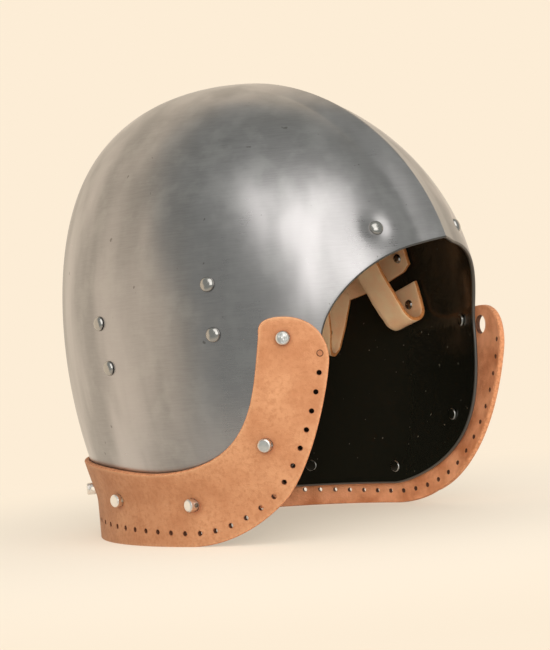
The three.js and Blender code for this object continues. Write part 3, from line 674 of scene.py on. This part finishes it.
LOOKS = {
    "steel": finish_look("satin_steel", satin_steel),
    "rim": finish_look("rim_steel", rim_steel),
    "paint": finish_look("black_paint", black_paint),
    "stud": finish_look("stud_steel", polished_steel, "#f2efea", 0.26, 0.0009),
    "rivet": finish_look("rivet_steel", polished_steel, "#b4b1ad", 0.15, 0.0002),
    "grain": finish_look("grain_leather", grain_leather),
    # The band's inner flesh face: colours lifted to paint in light that the inside of the helmet
    # lacks
    "flesh": finish_look("band_flesh_painted_light", flesh_leather, "#ffb688", "#d48556", 0.0007),
    "edge": finish_look("band_edge", cut_leather, "#d8966c", "#b07048"),
    # The sewing holes' walls: dark colours that paint the shade inside the holes
    "hole": finish_look("hole_wall_painted_shade", cut_leather, "#6e432b", "#40261a"),
    # The lining's suede: pale colours lifted to paint in light that the inside of the helmet lacks
    "suede": finish_look("lining_suede_painted_light", flesh_leather, "#ffdcb0", "#ffc898", 0.0005),
    "lining_edge": finish_look("lining_edge", cut_leather, "#e79c5e", "#c67a42"),
    "lace": finish_look("lace_leather", flesh_leather, "#7a4d30", "#573320", 0.0003),
}


def declare(piece, slot, *nodes):
    """Hides the CAD nodes that a piece stands for and hangs the piece on the root body. The slot is
    not used.
    """
    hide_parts(*nodes)
    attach(piece, "root")


# Skull

SKULL_COLUMNS = 220  # on each side
SKULL_ROWS = 92
RIM_ROWS = 7
FAN_POWER = 1.5
RIM_ROUND = 0.8


def make_skull():
    """Both faces as one grid, round by share of the steel edge and down from the crown, and a
    rounded rim between them. Columns fan out evenly at the crown and land on the edge."""
    turn = np.arange(-SKULL_COLUMNS, SKULL_COLUMNS) / SKULL_COLUMNS
    share = np.abs(turn)
    side = np.where(turn < 0, -1.0, 1.0)
    down = np.linspace(0, 1, SKULL_ROWS)
    rim = np.linspace(0, math.pi, RIM_ROWS + 2)[1:-1]
    flat = np.zeros(SKULL_ROWS)
    drop = np.concatenate([down, np.ones(RIM_ROWS), down[::-1]])[:, None]
    outside = np.concatenate([flat, STEEL / 2 * (np.cos(rim) - 1), flat - STEEL])
    inset = np.concatenate([flat + 1, 1 - np.sin(rim), flat + 1]) * RIM_ROUND
    edge = np.stack([steel_edge.inset(share, np.full(share.shape, depth)) for depth in inset])
    low_angle = angle_at(np.abs(edge[..., 0]))
    low_latitude = latitude_at(edge[..., 1])
    latitude = math.pi / 2 + (low_latitude - math.pi / 2) * drop
    angle = math.pi * share + (low_angle - math.pi * share) * drop**FAN_POWER
    points = skull_point(side * angle, latitude, np.broadcast_to(outside[:, None], angle.shape))
    rows, columns = angle.shape
    faces = grid_faces(rows, columns, wrap_columns=True)
    row = np.repeat(np.arange(rows - 1), columns)
    slots = np.where(row < SKULL_ROWS - 1, 0, np.where(row < SKULL_ROWS + RIM_ROWS, 1, 2))
    piece = make_mesh("skull_shell", points, faces, ["steel", "rim", "paint"], slots)
    shanks = [shank_cutter(g, h, STUD_SHANK, stud_axes(name, g, h)) for name, g, h in STUDS]
    shanks += [shank_cutter(g, h, RIVET_SHANK) for _, g, h, _ in RIVETS]
    cut(piece, join_cutters(shanks))
    # Painted shade: the steel behind each sewing hole is darkened where the leather over it would
    # shade it
    under = [place(g, h) for g, h in SEWING]
    write_value(piece, "under", 1 - smooth(*HOLE_SHADE_FADE, nearest(corner_points(piece), under)))
    sharpen(piece, 38)
    declare(piece, "skull_steel", "skull")


def shank_cutter(girth, height, radius, axes=None):
    """A prism through the steel for a shank."""
    points, faces = prism(radius + SEAT, *SHANK_CUT, SHANK_SIDES)
    return put(points, girth, height, axes), faces


def join_cutters(prisms):
    """One mesh of many prisms, all in the second material slot."""
    points, faces, start = [], [], 0
    for prism_points, prism_faces in prisms:
        flat = prism_points.reshape(-1, 3)
        points.append(flat)
        faces.append(prism_faces + start)
        start += len(flat)
    faces = np.vstack(faces)
    return make_mesh("cutter", np.vstack(points), faces, slots=np.ones(len(faces)))


# Fastener places

def stud_places():
    """(name, girth, height) of each stud."""
    places = []
    for i, (share, inset) in enumerate(zip(STUD_SHARES, STUD_INSETS), start=1):
        girth, height = band_outer.inset(share, inset).tolist()
        if share == 1:
            places.append(("stud_back", girth, height))
        else:
            places += [(f"stud_{side}_{i}", sign * girth, height) for side, sign in SIDES.items()]
    return places


def rivet_places():
    """(name, girth, height, what it holds) of each rivet."""
    places = []
    for side, sign in SIDES.items():
        places.append((f"rivet_brow_{side}", sign * BROW[0], BROW[1], "strap"))
        for row, rows in (("temple", TEMPLE), ("back", BACK)):
            girth, height, rise, drift = rows[side]
            places.append((f"rivet_{row}_lower_{side}", sign * girth, height, "strap"))
            high = (sign * (girth + drift), height + rise)
            places.append((f"rivet_{row}_upper_{side}", *high, "headband"))
    return places


STUDS = stud_places()
RIVETS = rivet_places()
for rivet_name, rivet_girth, rivet_height, _ in RIVETS:
    dent = BROW_DIMPLE if "brow" in rivet_name else SIDE_DIMPLE
    DIMPLES.append((place(rivet_girth, rivet_height), dent))


# Band

BAND_STATIONS = 300  # on each side
BAND_ACROSS = 26
BAND_ROUND = 5
BAND_CROWDING = 1.25
EDGE_ROUND = 0.55


def make_band():
    """A closed cross-section of two faces and two rounded edges, swept from the right tab round
    the back to the left tab between the outer and the inner outline."""
    share = np.linspace(0, 1, BAND_STATIONS) ** BAND_CROWDING
    low, high = band_outer.at(share), band_inner.at(share)
    width = np.linalg.norm(high - low, axis=1)
    across = unit(high - low)
    steps = np.linspace(0, math.pi, BAND_ROUND + 2)[1:-1]
    face = np.linspace(0, 1, BAND_ACROSS)
    flat = np.zeros(BAND_ACROSS)
    # Round the section: outer face up, upper edge in, inner face down, lower edge out
    portion = np.concatenate([face, np.ones(BAND_ROUND), face[::-1], np.zeros(BAND_ROUND)])
    swell = np.concatenate([flat, np.sin(steps), flat, np.sin(steps)])
    half = BAND_THICKNESS / 2
    across_edge = half * np.cos(steps)
    depth = np.concatenate([flat + BAND_THICKNESS, half + across_edge, flat, half - across_edge])
    quads = [BAND_ACROSS - 1, BAND_ROUND + 1, BAND_ACROSS - 1, BAND_ROUND + 1]
    kind = np.repeat([0, 3, 2, 3], quads)
    rounding = np.minimum(EDGE_ROUND, width / 4)[None]
    reach = rounding + portion[:, None] * (width - 2 * rounding)
    reach += rounding * (swell * np.where(portion > 0.5, 1, -1))[:, None]
    place_on = low[None] + across[None] * reach[..., None]
    sides = []
    for sign in (-1.0, 1.0):
        girth, height = sign * place_on[..., 0], place_on[..., 1]
        sides.append(band_point(girth, height, np.broadcast_to(depth[:, None], girth.shape)))
    points = np.concatenate([sides[0], sides[1][:, -2::-1]], axis=1)
    rows, columns = points.shape[:2]
    faces = grid_faces(rows, columns, wrap_rows=True)[:, ::-1]
    slots = np.repeat(kind, columns - 1)
    piece = make_mesh("band_hide", points, faces, ["grain", "hole", "flesh", "edge"], slots)
    holes = [ring_cutter(*SEWING[0])]
    holes += [band_cutter(g, h, HOLE_RADIUS, HOLE_SIDES) for g, h in SEWING[1:]]
    holes += [stud_cutter(*stud) for stud in STUDS]
    cut(piece, join_cutters(holes))
    sharpen(piece, 50)
    mark_band(piece, low, high)
    declare(piece, "band_leather", "aventail_band")


def sewing_places():
    """The sewing holes, evenly spaced along the leather from tab to tab."""
    share = np.linspace(HOLE_START, 1, 2001)
    progress = np.minimum(share / HOLE_LEVEL, 1) ** 2
    places = band_outer.inset(share, HOLE_INSET + (HOLE_BACK_INSET - HOLE_INSET) * progress)
    lengths = lengths_along(band_point(-places[:, 0], places[:, 1], np.zeros(len(places))))
    wanted = np.arange(0, lengths[-1] - HOLE_SPACING / 2, HOLE_SPACING)
    girths, heights = (np.interp(wanted, lengths, places[:, k]) for k in (0, 1))
    return [(sign * g, h) for sign in SIDES.values() for g, h in zip(girths, heights)]


SEWING = sewing_places()


def leather_axes(girth, height):
    """The leather's own axes at a place, by differences: along, outwards, down."""
    step = 0.5
    girths = girth + np.array([step, -step, 0, 0])
    heights = height + np.array([0, 0, step, -step])
    around = band_point(girths, heights, np.full(4, BAND_THICKNESS / 2))
    along, up = unit(around[0] - around[1]), around[2] - around[3]
    outwards = unit(np.cross(along, up))
    return np.stack([along, outwards, np.cross(along, outwards)])


def leather_place(girth, height, depth):
    """One point of the leather."""
    return band_point(*np.array([[girth], [height], [depth]]))[0]


def put_in_leather(points, girth, height):
    """Local points (along, outwards, down) at a place half way through the leather."""
    return points @ leather_axes(girth, height) + leather_place(girth, height, BAND_THICKNESS / 2)


def band_cutter(girth, height, radius, sides):
    """A round prism square through the leather."""
    points, faces = prism(radius, -BAND_CUT, BAND_CUT, sides)
    return put_in_leather(points, girth, height), faces


def ring_cutter(girth, height):
    """The near tab's first sewing hole isn't punched through: only the punch's ring shows."""
    inner, outer, low = HOLE_RADIUS, HOLE_RADIUS + RING_WIDTH, BAND_THICKNESS / 2 - RING_DEPTH
    profile = [(inner, low), (outer, low), (outer, BAND_CUT), (inner, BAND_CUT), (inner, low)]
    points, faces = turned(profile, RING_SIDES)
    return put_in_leather(points, girth, height), faces


def stud_cutter(name, girth, height):
    """A round prism through the leather on the stud's own axis, but where the left tab has
    slipped off its stud, square through the leather."""
    if name == "stud_left_1":
        slipped = (girth + SLIPPED[0], height + SLIPPED[1])
        return band_cutter(*slipped, STRETCHED_HOLE, STUD_HOLE_SIDES)
    points, faces = prism(STUD_HOLE, *STUD_CUT, STUD_HOLE_SIDES)
    return put(points, girth, height, stud_axes(name, girth, height)), faces


def mark_band(piece, low, high):
    """Values on the leather's points: a stain that falls with the distance from studs and holes,
    and a rim value that falls with the distance from the cut outline."""
    co = corner_points(piece)
    studs = [leather_place(g, h, BAND_THICKNESS) for _, g, h in STUDS]
    holes = [leather_place(g, h, BAND_THICKNESS) for g, h in SEWING]
    outline = np.vstack([low[::2], high[::2]])
    rims = np.vstack([
        band_point(sign * outline[:, 0], outline[:, 1], np.full(len(outline), BAND_THICKNESS))
        for sign in (-1, 1)
    ])
    stains = [
        strength * np.exp(-np.maximum(nearest(co, spots) - radius, 0) / fall)
        for spots, radius, (strength, fall) in (
            (studs, STUD_RADIUS, STUD_STAIN), (holes, HOLE_RADIUS, HOLE_STAIN),
        )
    ]
    write_value(piece, "stain", np.maximum(*stains))
    write_value(piece, "rim", np.exp(-nearest(co, rims) / RIM_FALL))


def corner_points(piece):
    """A piece's points in fitting millimetres."""
    co = np.empty(len(piece.data.vertices) * 3, np.float32)
    piece.data.vertices.foreach_get("co", co)
    return co.reshape(-1, 3) * 1000 - ROW_SHIFT


def write_value(piece, key, data):
    """A named value for each point of a piece."""
    attribute = piece.data.attributes.new(key, "FLOAT", "POINT")
    attribute.data.foreach_set("value", data.astype(np.float32))


def nearest(points, targets):
    """The distance from each point to the nearest target."""
    best = np.full(len(points), np.inf)
    for target in targets:
        best = np.minimum(best, np.sum((points - target) ** 2, axis=1))
    return np.sqrt(best)


# Studs and rivets

def arc(centre, radius, start, end, steps):
    """Points of radius and level on an arc, angles in degrees from the level outwards."""
    turn = np.radians(np.linspace(start, end, steps))
    return [(centre[0] + radius * math.cos(t), centre[1] + radius * math.sin(t)) for t in turn]


def make_stud(name, girth, height):
    """A turned stud: chamfered pierced head, thin shank, peened end, painted with the inside but
    for its rounded rim."""
    tip = BAND_GAP + BAND_THICKNESS + STUD_PROUD - STUD_SHORTER.get(name, 0)
    butt = -STEEL - 2 * SEAT
    # Radius and level, from the painted end to the tip
    profile = [(0, butt - 0.8), (2.6, butt - 0.8)]
    profile += arc((STUD_BUTT - 0.5, butt - 0.3), 0.5, -60, 0, 5)
    profile += [(STUD_BUTT, butt), (STUD_SHANK, butt), (STUD_SHANK, SEAT), (STUD_RADIUS, SEAT)]
    profile += [(STUD_RADIUS, tip - STUD_CHAMFER - 0.15)]
    profile += arc((STUD_RADIUS - 0.2, tip - STUD_CHAMFER - 0.05), 0.2, 0, 45, 4)
    profile += arc((STUD_RADIUS - STUD_CHAMFER - 0.15, tip - 0.25), 0.25, 45, 90, 5)
    profile += [(0, tip)]
    points, faces = turned(profile, STUD_SIDES)
    painted = np.isin(np.arange(len(profile) - 1), STUD_PAINTED)
    slots = np.repeat(~painted, STUD_SIDES)
    axes = stud_axes(name, girth, height)
    points = put(points, girth, height, axes)
    piece = make_mesh(name + "_turned", points, faces, ["paint", "stud"], slots)
    reach = STUD_RADIUS + 2
    bore, bore_faces = prism(STUD_CORD_HOLE, -reach, reach, BORE_SIDES)
    bore = bore[..., [1, 0, 2]] * [1, -1, 1] + [0, tip - STUD_CORD_HOLE_INSET, 0]
    cut(piece, join_cutters([(put(bore, girth, height, axes), bore_faces)]))
    sharpen(piece, 32)
    declare(piece, "fastener_steel", name)


def make_rivet(name, girth, height, holds):
    """A hammered dome outside, a shank, and a peened butt on the leather it holds."""
    clearance = STRAP_CLEARANCE if holds == "strap" else HEADBAND_CLEARANCE
    butt = -STEEL - clearance - LINING - 2 * SEAT
    profile = [(0, butt - 1.4), (1.4, butt - 1.4), (2.3, butt - 0.9), (RIVET_BUTT, butt)]
    profile += [(RIVET_SHANK, butt), (RIVET_SHANK, SEAT), (RIVET_HEAD - 0.2, SEAT)]
    turn = np.radians(np.linspace(2, 90, 16))
    profile += [(RIVET_HEAD * math.cos(t) ** 0.9, SEAT + RIVET_RISE * math.sin(t)) for t in turn[:-1]]
    profile += [(0, SEAT + RIVET_RISE)]
    points, faces = turned(profile, RIVET_SIDES)
    piece = make_mesh(name + "_hammered", put(points, girth, height), faces, ["rivet"])
    sharpen(piece, 40)
    declare(piece, "fastener_steel", name)


# Lining

def ribbon(name, path, side, facing, width):
    """A strip of leather along a path: at each station a rounded rectangle of that width,
    spanned by the side and facing directions."""
    steps = np.linspace(-math.pi / 2, math.pi / 2, RIBBON_ROUND + 2)[1:-1]
    half = LINING / 2
    bulge = RIBBON_BULGE_SHARE * half
    across = np.linspace(-0.5, 0.5, RIBBON_ACROSS)
    flat, end = np.zeros(RIBBON_ACROSS), np.full(RIBBON_ROUND, 0.5)
    reach = np.concatenate([across, end, across[::-1], -end])
    swell = np.concatenate([flat, np.cos(steps), flat, -np.cos(steps)]) * bulge
    level = np.concatenate([flat + 1, -np.sin(steps), flat - 1, np.sin(steps)]) * half
    kind = np.tile(np.repeat([0, 1], [RIBBON_ACROSS - 1, RIBBON_ROUND + 1]), 2)
    width = np.broadcast_to(width, (len(path),))
    offset = reach[:, None] * (width[None] - 2 * bulge) + swell[:, None]
    points = path[None] + side[None] * offset[..., None] + facing[None] * level[:, None, None]
    caps = np.repeat(points.mean(axis=0, keepdims=True)[:, [0, -1]], len(reach), axis=0)
    points = np.concatenate([caps[:, :1], points, caps[:, 1:]], axis=1)
    rows, columns = points.shape[:2]
    faces = grid_faces(rows, columns, wrap_rows=True)
    slots = np.repeat(kind, columns - 1)
    slots[np.isin(np.tile(np.arange(columns - 1), rows), (0, columns - 2))] = 1
    return make_mesh(name, points, faces, ["suede", "lining_edge"], slots)


def catmull(knots):
    """A smooth curve through the knots: on each stretch the uniform Catmull-Rom cubic."""
    knots = np.array(knots, float)
    padded = np.vstack([knots[:1], knots, knots[-1:]])
    t = np.linspace(0, 1, CURVE_POINTS // 2, endpoint=False)[:, None]
    curve = []
    for a, b, c, d in zip(padded, padded[1:], padded[2:], padded[3:]):
        leave, arrive = (c - a) / 2, (d - b) / 2
        cubed = (2 * b - 2 * c + leave + arrive) * t**3
        squared = (3 * c - 3 * b - 2 * leave - arrive) * t**2
        curve.append(cubed + squared + leave * t + b)
    return np.vstack(curve + [knots[-1:]])


def make_headband():
    """Leather round the inside on the upper rivets, from temple to temple, narrower at its ends."""
    at = {name: (girth, height) for name, girth, height, _ in RIVETS}
    knots = []
    for row in ("temple_upper_left", "back_upper_left", "back_upper_right", "temple_upper_right"):
        girth, height = at["rivet_" + row]
        knots.append((girth % (2 * HALF_GIRTH), height))
    sag = (HALF_GIRTH, (knots[1][1] + knots[2][1]) / 2 - HEADBAND_BACK_SAG)
    first = (knots[0][0] - HEADBAND_END, knots[0][1] + HEADBAND_END_RISE)
    last = (knots[3][0] + HEADBAND_END, knots[3][1] + HEADBAND_END_RISE)
    centre = Edge(catmull([first, knots[0], knots[1], sag, knots[2], knots[3], last]))
    share = np.linspace(0, 1, 241)
    spot = centre.at(share)
    girth = np.where(spot[:, 0] > HALF_GIRTH, spot[:, 0] - 2 * HALF_GIRTH, spot[:, 0])
    to_end = np.minimum(share, 1 - share) * centre.length
    fullness = smooth(0, HEADBAND_NARROWING, to_end)
    width = HEADBAND_END_WIDTH + (HEADBAND_WIDTH - HEADBAND_END_WIDTH) * fullness
    depth = -STEEL - HEADBAND_CLEARANCE - LINING / 2
    middle = place(girth, spot[:, 1], depth)
    upper = place(girth, spot[:, 1] + 1.0, depth)
    facing = outward(angle_at(girth), latitude_at(spot[:, 1]))
    piece = ribbon("headband_hide", middle, unit(upper - middle), facing, width)
    cut(piece, join_cutters([lining_bore(*at[n]) for n in at if "upper" in n]))
    declare(piece, "lining_leather", "lining_headband")


def lining_bore(girth, height):
    """A prism on the rivet's axis, as deep as the lining but not its turned part."""
    deepest = -STEEL - STRAP_CLEARANCE - LINING - BROW_TURN / 2
    points, faces = prism(RIVET_SHANK + SEAT, deepest, 4, SHANK_SIDES)
    return put(points, girth, height), faces


def strap_path(side, row):
    """The middle line of a crown strap and its across directions: down the wall past its rivet,
    round half a turn inwards, and up an even sweep to lie flat on the lace."""
    sign = SIDES[side]
    (girth, height, *_), lean, drop, radius, heading = {
        "brow": (BROW, 0.0, BROW_STRAP_DROP, BROW_TURN, math.pi / 6),
        "temple": (TEMPLE[side], TEMPLE_LEAN, STRAP_DROP, STRAP_TURN, math.pi / 2),
        "back": (BACK[side], BACK_LEAN, STRAP_DROP, STRAP_TURN, 5 * math.pi / 6),
    }[row]
    girth, lean = sign * girth, -sign * lean
    sideways, outwards, third = place_axes(girth, height)
    across = sideways * math.cos(lean) - third * math.sin(lean)
    down = third * math.cos(lean) + sideways * math.sin(lean)
    depth = STEEL + STRAP_CLEARANCE + LINING / 2
    end = STRAP_END + (BACK_LEFT_RISE if (side, row) == ("left", "back") else 0)
    drops = np.linspace(-end, drop, 14)
    wall = place(girth + drops * math.sin(lean), height + drops * down[2], -depth)
    turn = np.linspace(0, math.pi - STRAP_TILT, 22)[1:, None]
    bend = wall[-1] + down * radius * np.sin(turn) - outwards * radius * (1 - np.cos(turn))
    radial = np.array([sign * math.sin(heading), -math.cos(heading), 0.0])
    crown = np.array([0.0, LACE_SETBACK, LACE_HEIGHT])
    tip = crown + radial * (LACE_RING - TIP_REACH)
    leg_end = tip + radial * 2 * TIP_REACH
    sweep = -down * math.cos(STRAP_TILT) - outwards * math.sin(STRAP_TILT)
    reach = BACK_STRAP_SWEEP if row == "back" else STRAP_SWEEP
    leg = bezier(bend[-1], bend[-1] + sweep * reach, leg_end + radial * STRAP_ARCH, leg_end)
    flat = np.linspace(leg_end, tip, 8)[1:]
    path = np.vstack([wall, bend, leg[1:], flat])
    tip_across = unit(np.cross(ALONG_Z, radial))
    if tip_across @ across < 0:
        tip_across = -tip_across
    start = len(wall) + len(bend)
    share = np.clip((np.arange(len(path)) - start) / (len(path) - 1 - start), 0, 1)
    return path, across, tip_across, share, girth, height


def make_strap(side, row):
    """One crown strap, which narrows to its tip and is pierced for its rivet."""
    path, across, tip_across, share, girth, height = strap_path(side, row)
    along = unit(np.gradient(path, axis=0))
    twist = across + (tip_across - across) * share[:, None]
    twist = unit(twist - along * np.sum(twist * along, axis=1, keepdims=True))
    facing = unit(np.cross(along, twist))
    narrowing = np.clip((share - STRAP_TAPER) / (1 - STRAP_TAPER), 0, 1)
    width = STRAP_WIDTH + (STRAP_TIP_WIDTH - STRAP_WIDTH) * narrowing
    waviness = sum(size * np.sin(np.arange(len(path)) * pace) for size, pace in STRAP_WAVES)
    name = f"crown_strap_{row}_{side}"
    piece = ribbon(name + "_hide", path, twist, facing, width + waviness)
    cut(piece, join_cutters([lining_bore(girth, height)]))
    declare(piece, "lining_leather", name)


def make_lace():
    """A round cord whose middle line is a ring that waves up and down three times."""
    turn = full_turn(LACE_STATIONS)
    centre = np.stack([
        LACE_RING * np.sin(turn),
        LACE_SETBACK - LACE_RING * np.cos(turn),
        LACE_HEIGHT + LACE_WAVE * np.cos(3 * turn),
    ], -1)
    along = unit(np.roll(centre, -1, axis=0) - np.roll(centre, 1, axis=0))
    side = unit(np.cross(ALONG_Z, along))
    up = np.cross(along, side)
    around = full_turn(LACE_SIDES)[:, None, None]
    points = centre[None] + LACE_RADIUS * (side[None] * np.cos(around) + up[None] * np.sin(around))
    faces = grid_faces(LACE_SIDES, LACE_STATIONS, wrap_rows=True, wrap_columns=True)
    piece = make_mesh("lace_cord", points, faces, ["lace"])
    declare(piece, "lace_leather", "crown_lace")


# Stage, light and camera

BACKDROP = "#fdedd6"
FLOOR = "#fff8ec"
FLOOR_FADE = (0.13, 0.42)
FLOOR_GLOW = 0.45
ROOM = "#cfcac2"
DIM_ROOM = "#a5a8a4"
DIM_SIDE = (-25, 40)  # azimuth and elevation that the dim side of the room is centred on
DIM_FADE = (0.05, 0.22)
FROM_CAMERA, BY_MIRROR, THROUGH_GLASS = 0, 3, 6  # outputs of the Light Path node


def towards(azimuth, elevation):
    """The direction of an azimuth (0 the brow's side, minus to the wearer's right) and an
    elevation in degrees."""
    azimuth, elevation = math.radians(azimuth), math.radians(elevation)
    level = Vector((math.sin(azimuth), -math.cos(azimuth), 0)) * math.cos(elevation)
    return level + Vector((0, 0, math.sin(elevation)))


def rays(start, first, *others):
    """1 for rays of these kinds, 0 for the rest."""
    share = start.make("LightPath", output=first)
    for output in others:
        share = share.maths("MAXIMUM", start.make("LightPath", output=output))
    return share


def mirrored(direction):
    """What metal shows in a direction: the backdrop, and the dim side of the room."""
    dim = tuple(towards(*DIM_SIDE))
    nearness = direction.maths("DOT_PRODUCT", dim, kind="VectorMath", output=1)
    return nearness.fade(*DIM_FADE).tint(BACKDROP, DIM_ROOM)


def floor_paper():
    """Pale paper that keeps the shadow near the helmet and goes over into the backdrop with the
    distance."""
    material = bpy.data.materials.new("floor_paper")
    material.use_nodes = True
    tree = material.node_tree
    shader = tree.nodes["Principled BSDF"]
    start = Value(tree)
    start.feed(shader, {"Base Color": colour(FLOOR), "Roughness": 1.0, "Specular IOR Level": 0.0})
    at = start.make("TexCoord", output=3)
    distance = at.maths("LENGTH", kind="VectorMath", output=1)
    away = distance.fade(*FLOOR_FADE) * (1 - FLOOR_GLOW) + FLOOR_GLOW
    away = away * rays(start, FROM_CAMERA, BY_MIRROR, THROUGH_GLASS)
    shown = mirrored(at.maths("NORMALIZE", kind="VectorMath"))
    shade = rays(start, BY_MIRROR).tint(BACKDROP, shown)
    glow = start.make("Emission", (), {"Color": shade, "Strength": 1.0})
    paper = Value(tree, shader.outputs[0])
    mixed = start.make("MixShader", (), {0: away, 1: paper, 2: glow})
    tree.links.new(mixed.socket, tree.nodes["Material Output"].inputs[0])
    return material


def make_floor():
    """A plane under the helmet."""
    bpy.ops.mesh.primitive_plane_add(size=16)
    floor = bpy.context.object
    floor.name = "floor"
    floor.data.materials.append(floor_paper())


def make_room():
    """A world that is the backdrop to the camera, the backdrop and the dim side to metal, and an
    even room to the rest."""
    world = bpy.data.worlds.new("room")
    bpy.context.scene.world = world
    world.use_nodes = True
    tree = world.node_tree
    tree.nodes.clear()
    start = Value(tree)
    shown = mirrored(start.make("TexCoord", output=0))
    shade = rays(start, BY_MIRROR, THROUGH_GLASS).tint(ROOM, shown)
    shade = rays(start, FROM_CAMERA).tint(shade, BACKDROP)
    lit = start.make("Background", (), {"Color": shade, "Strength": 1.0})
    start.make("OutputWorld", (), {0: lit})


def add_light(name, azimuth, elevation, distance, size, power, shade, in_mirrors):
    """A rectangular soft light that looks at the helmet's middle from a direction."""
    light = bpy.data.lights.new(name, "AREA")
    light.shape = "RECTANGLE"
    light.size, light.size_y = size
    light.energy = power
    light.color = colour(shade)[:3]
    lamp = bpy.data.objects.new(name, light)
    direction = towards(azimuth, elevation)
    lamp.location = HELMET_MIDDLE + direction * distance
    lamp.rotation_mode = "QUATERNION"
    lamp.rotation_quaternion = (-direction).to_track_quat("-Z", "Y")
    lamp.visible_glossy = in_mirrors
    bpy.context.scene.collection.objects.link(lamp)


CAMERA_AZIMUTH = -50.42
CAMERA_ELEVATION = 0.21
CAMERA_ROLL = -5.02
CAMERA_DISTANCE = 1066.35
CAMERA_TARGET = (0.0, -2.1, 106.6)
CAMERA_FOCAL_PX = 1971.7
PICTURE_HEIGHT_PX = 650
SENSOR = 36.0


def make_camera():
    """The photo's view: azimuth, elevation and roll about the target."""
    azimuth, elevation, roll = map(math.radians, (CAMERA_AZIMUTH, CAMERA_ELEVATION, CAMERA_ROLL))
    level = np.array([math.sin(azimuth), -math.cos(azimuth), 0]) * math.cos(elevation)
    back = level + ALONG_Z * math.sin(elevation)
    right = unit(np.cross(ALONG_Z, back))
    up = np.cross(back, right)
    rolled_right = math.cos(roll) * right + math.sin(roll) * up
    rolled_up = -math.sin(roll) * right + math.cos(roll) * up
    data = bpy.data.cameras.new("photo_view")
    data.sensor_width = SENSOR
    data.lens = CAMERA_FOCAL_PX / PICTURE_HEIGHT_PX * SENSOR
    data.clip_start, data.clip_end = 0.05, 50
    camera = bpy.data.objects.new("photo_view", data)
    place_at = to_row(np.array(CAMERA_TARGET) + back * CAMERA_DISTANCE)
    basis = np.eye(4)
    basis[:3] = np.stack([rolled_right, rolled_up, back, place_at], -1)
    camera.matrix_world = Matrix(basis.tolist())
    bpy.context.scene.collection.objects.link(camera)
    bpy.context.scene.camera = camera


HELMET_MIDDLE = Vector((0, 0, 0.12))
# Lamps: azimuth and elevation from the helmet, distance, size, power, shade, and whether metal
# mirrors them
LAMPS = [
    ("front_low", -26, 14, 1.7, (1.5, 0.9), 7.6, "#fffdfa", True),
    ("front_high", -33, 48, 1.7, (1.6, 1.15), 8.5, "#fffdfa", True),
    ("camera_fill", -50, 8, 1.5, (0.6, 0.5), 10.0, "#fffaf2", False),
]

make_skull()
make_band()
for stud in STUDS:
    make_stud(*stud)
for rivet in RIVETS:
    make_rivet(*rivet)
make_headband()
for strap_side in SIDES:
    for strap_row in ("brow", "temple", "back"):
        make_strap(strap_side, strap_row)
make_lace()
make_floor()
make_room()
for lamp in LAMPS:
    add_light(*lamp)
make_camera()
bpy.context.scene.view_settings.view_transform = "Standard"
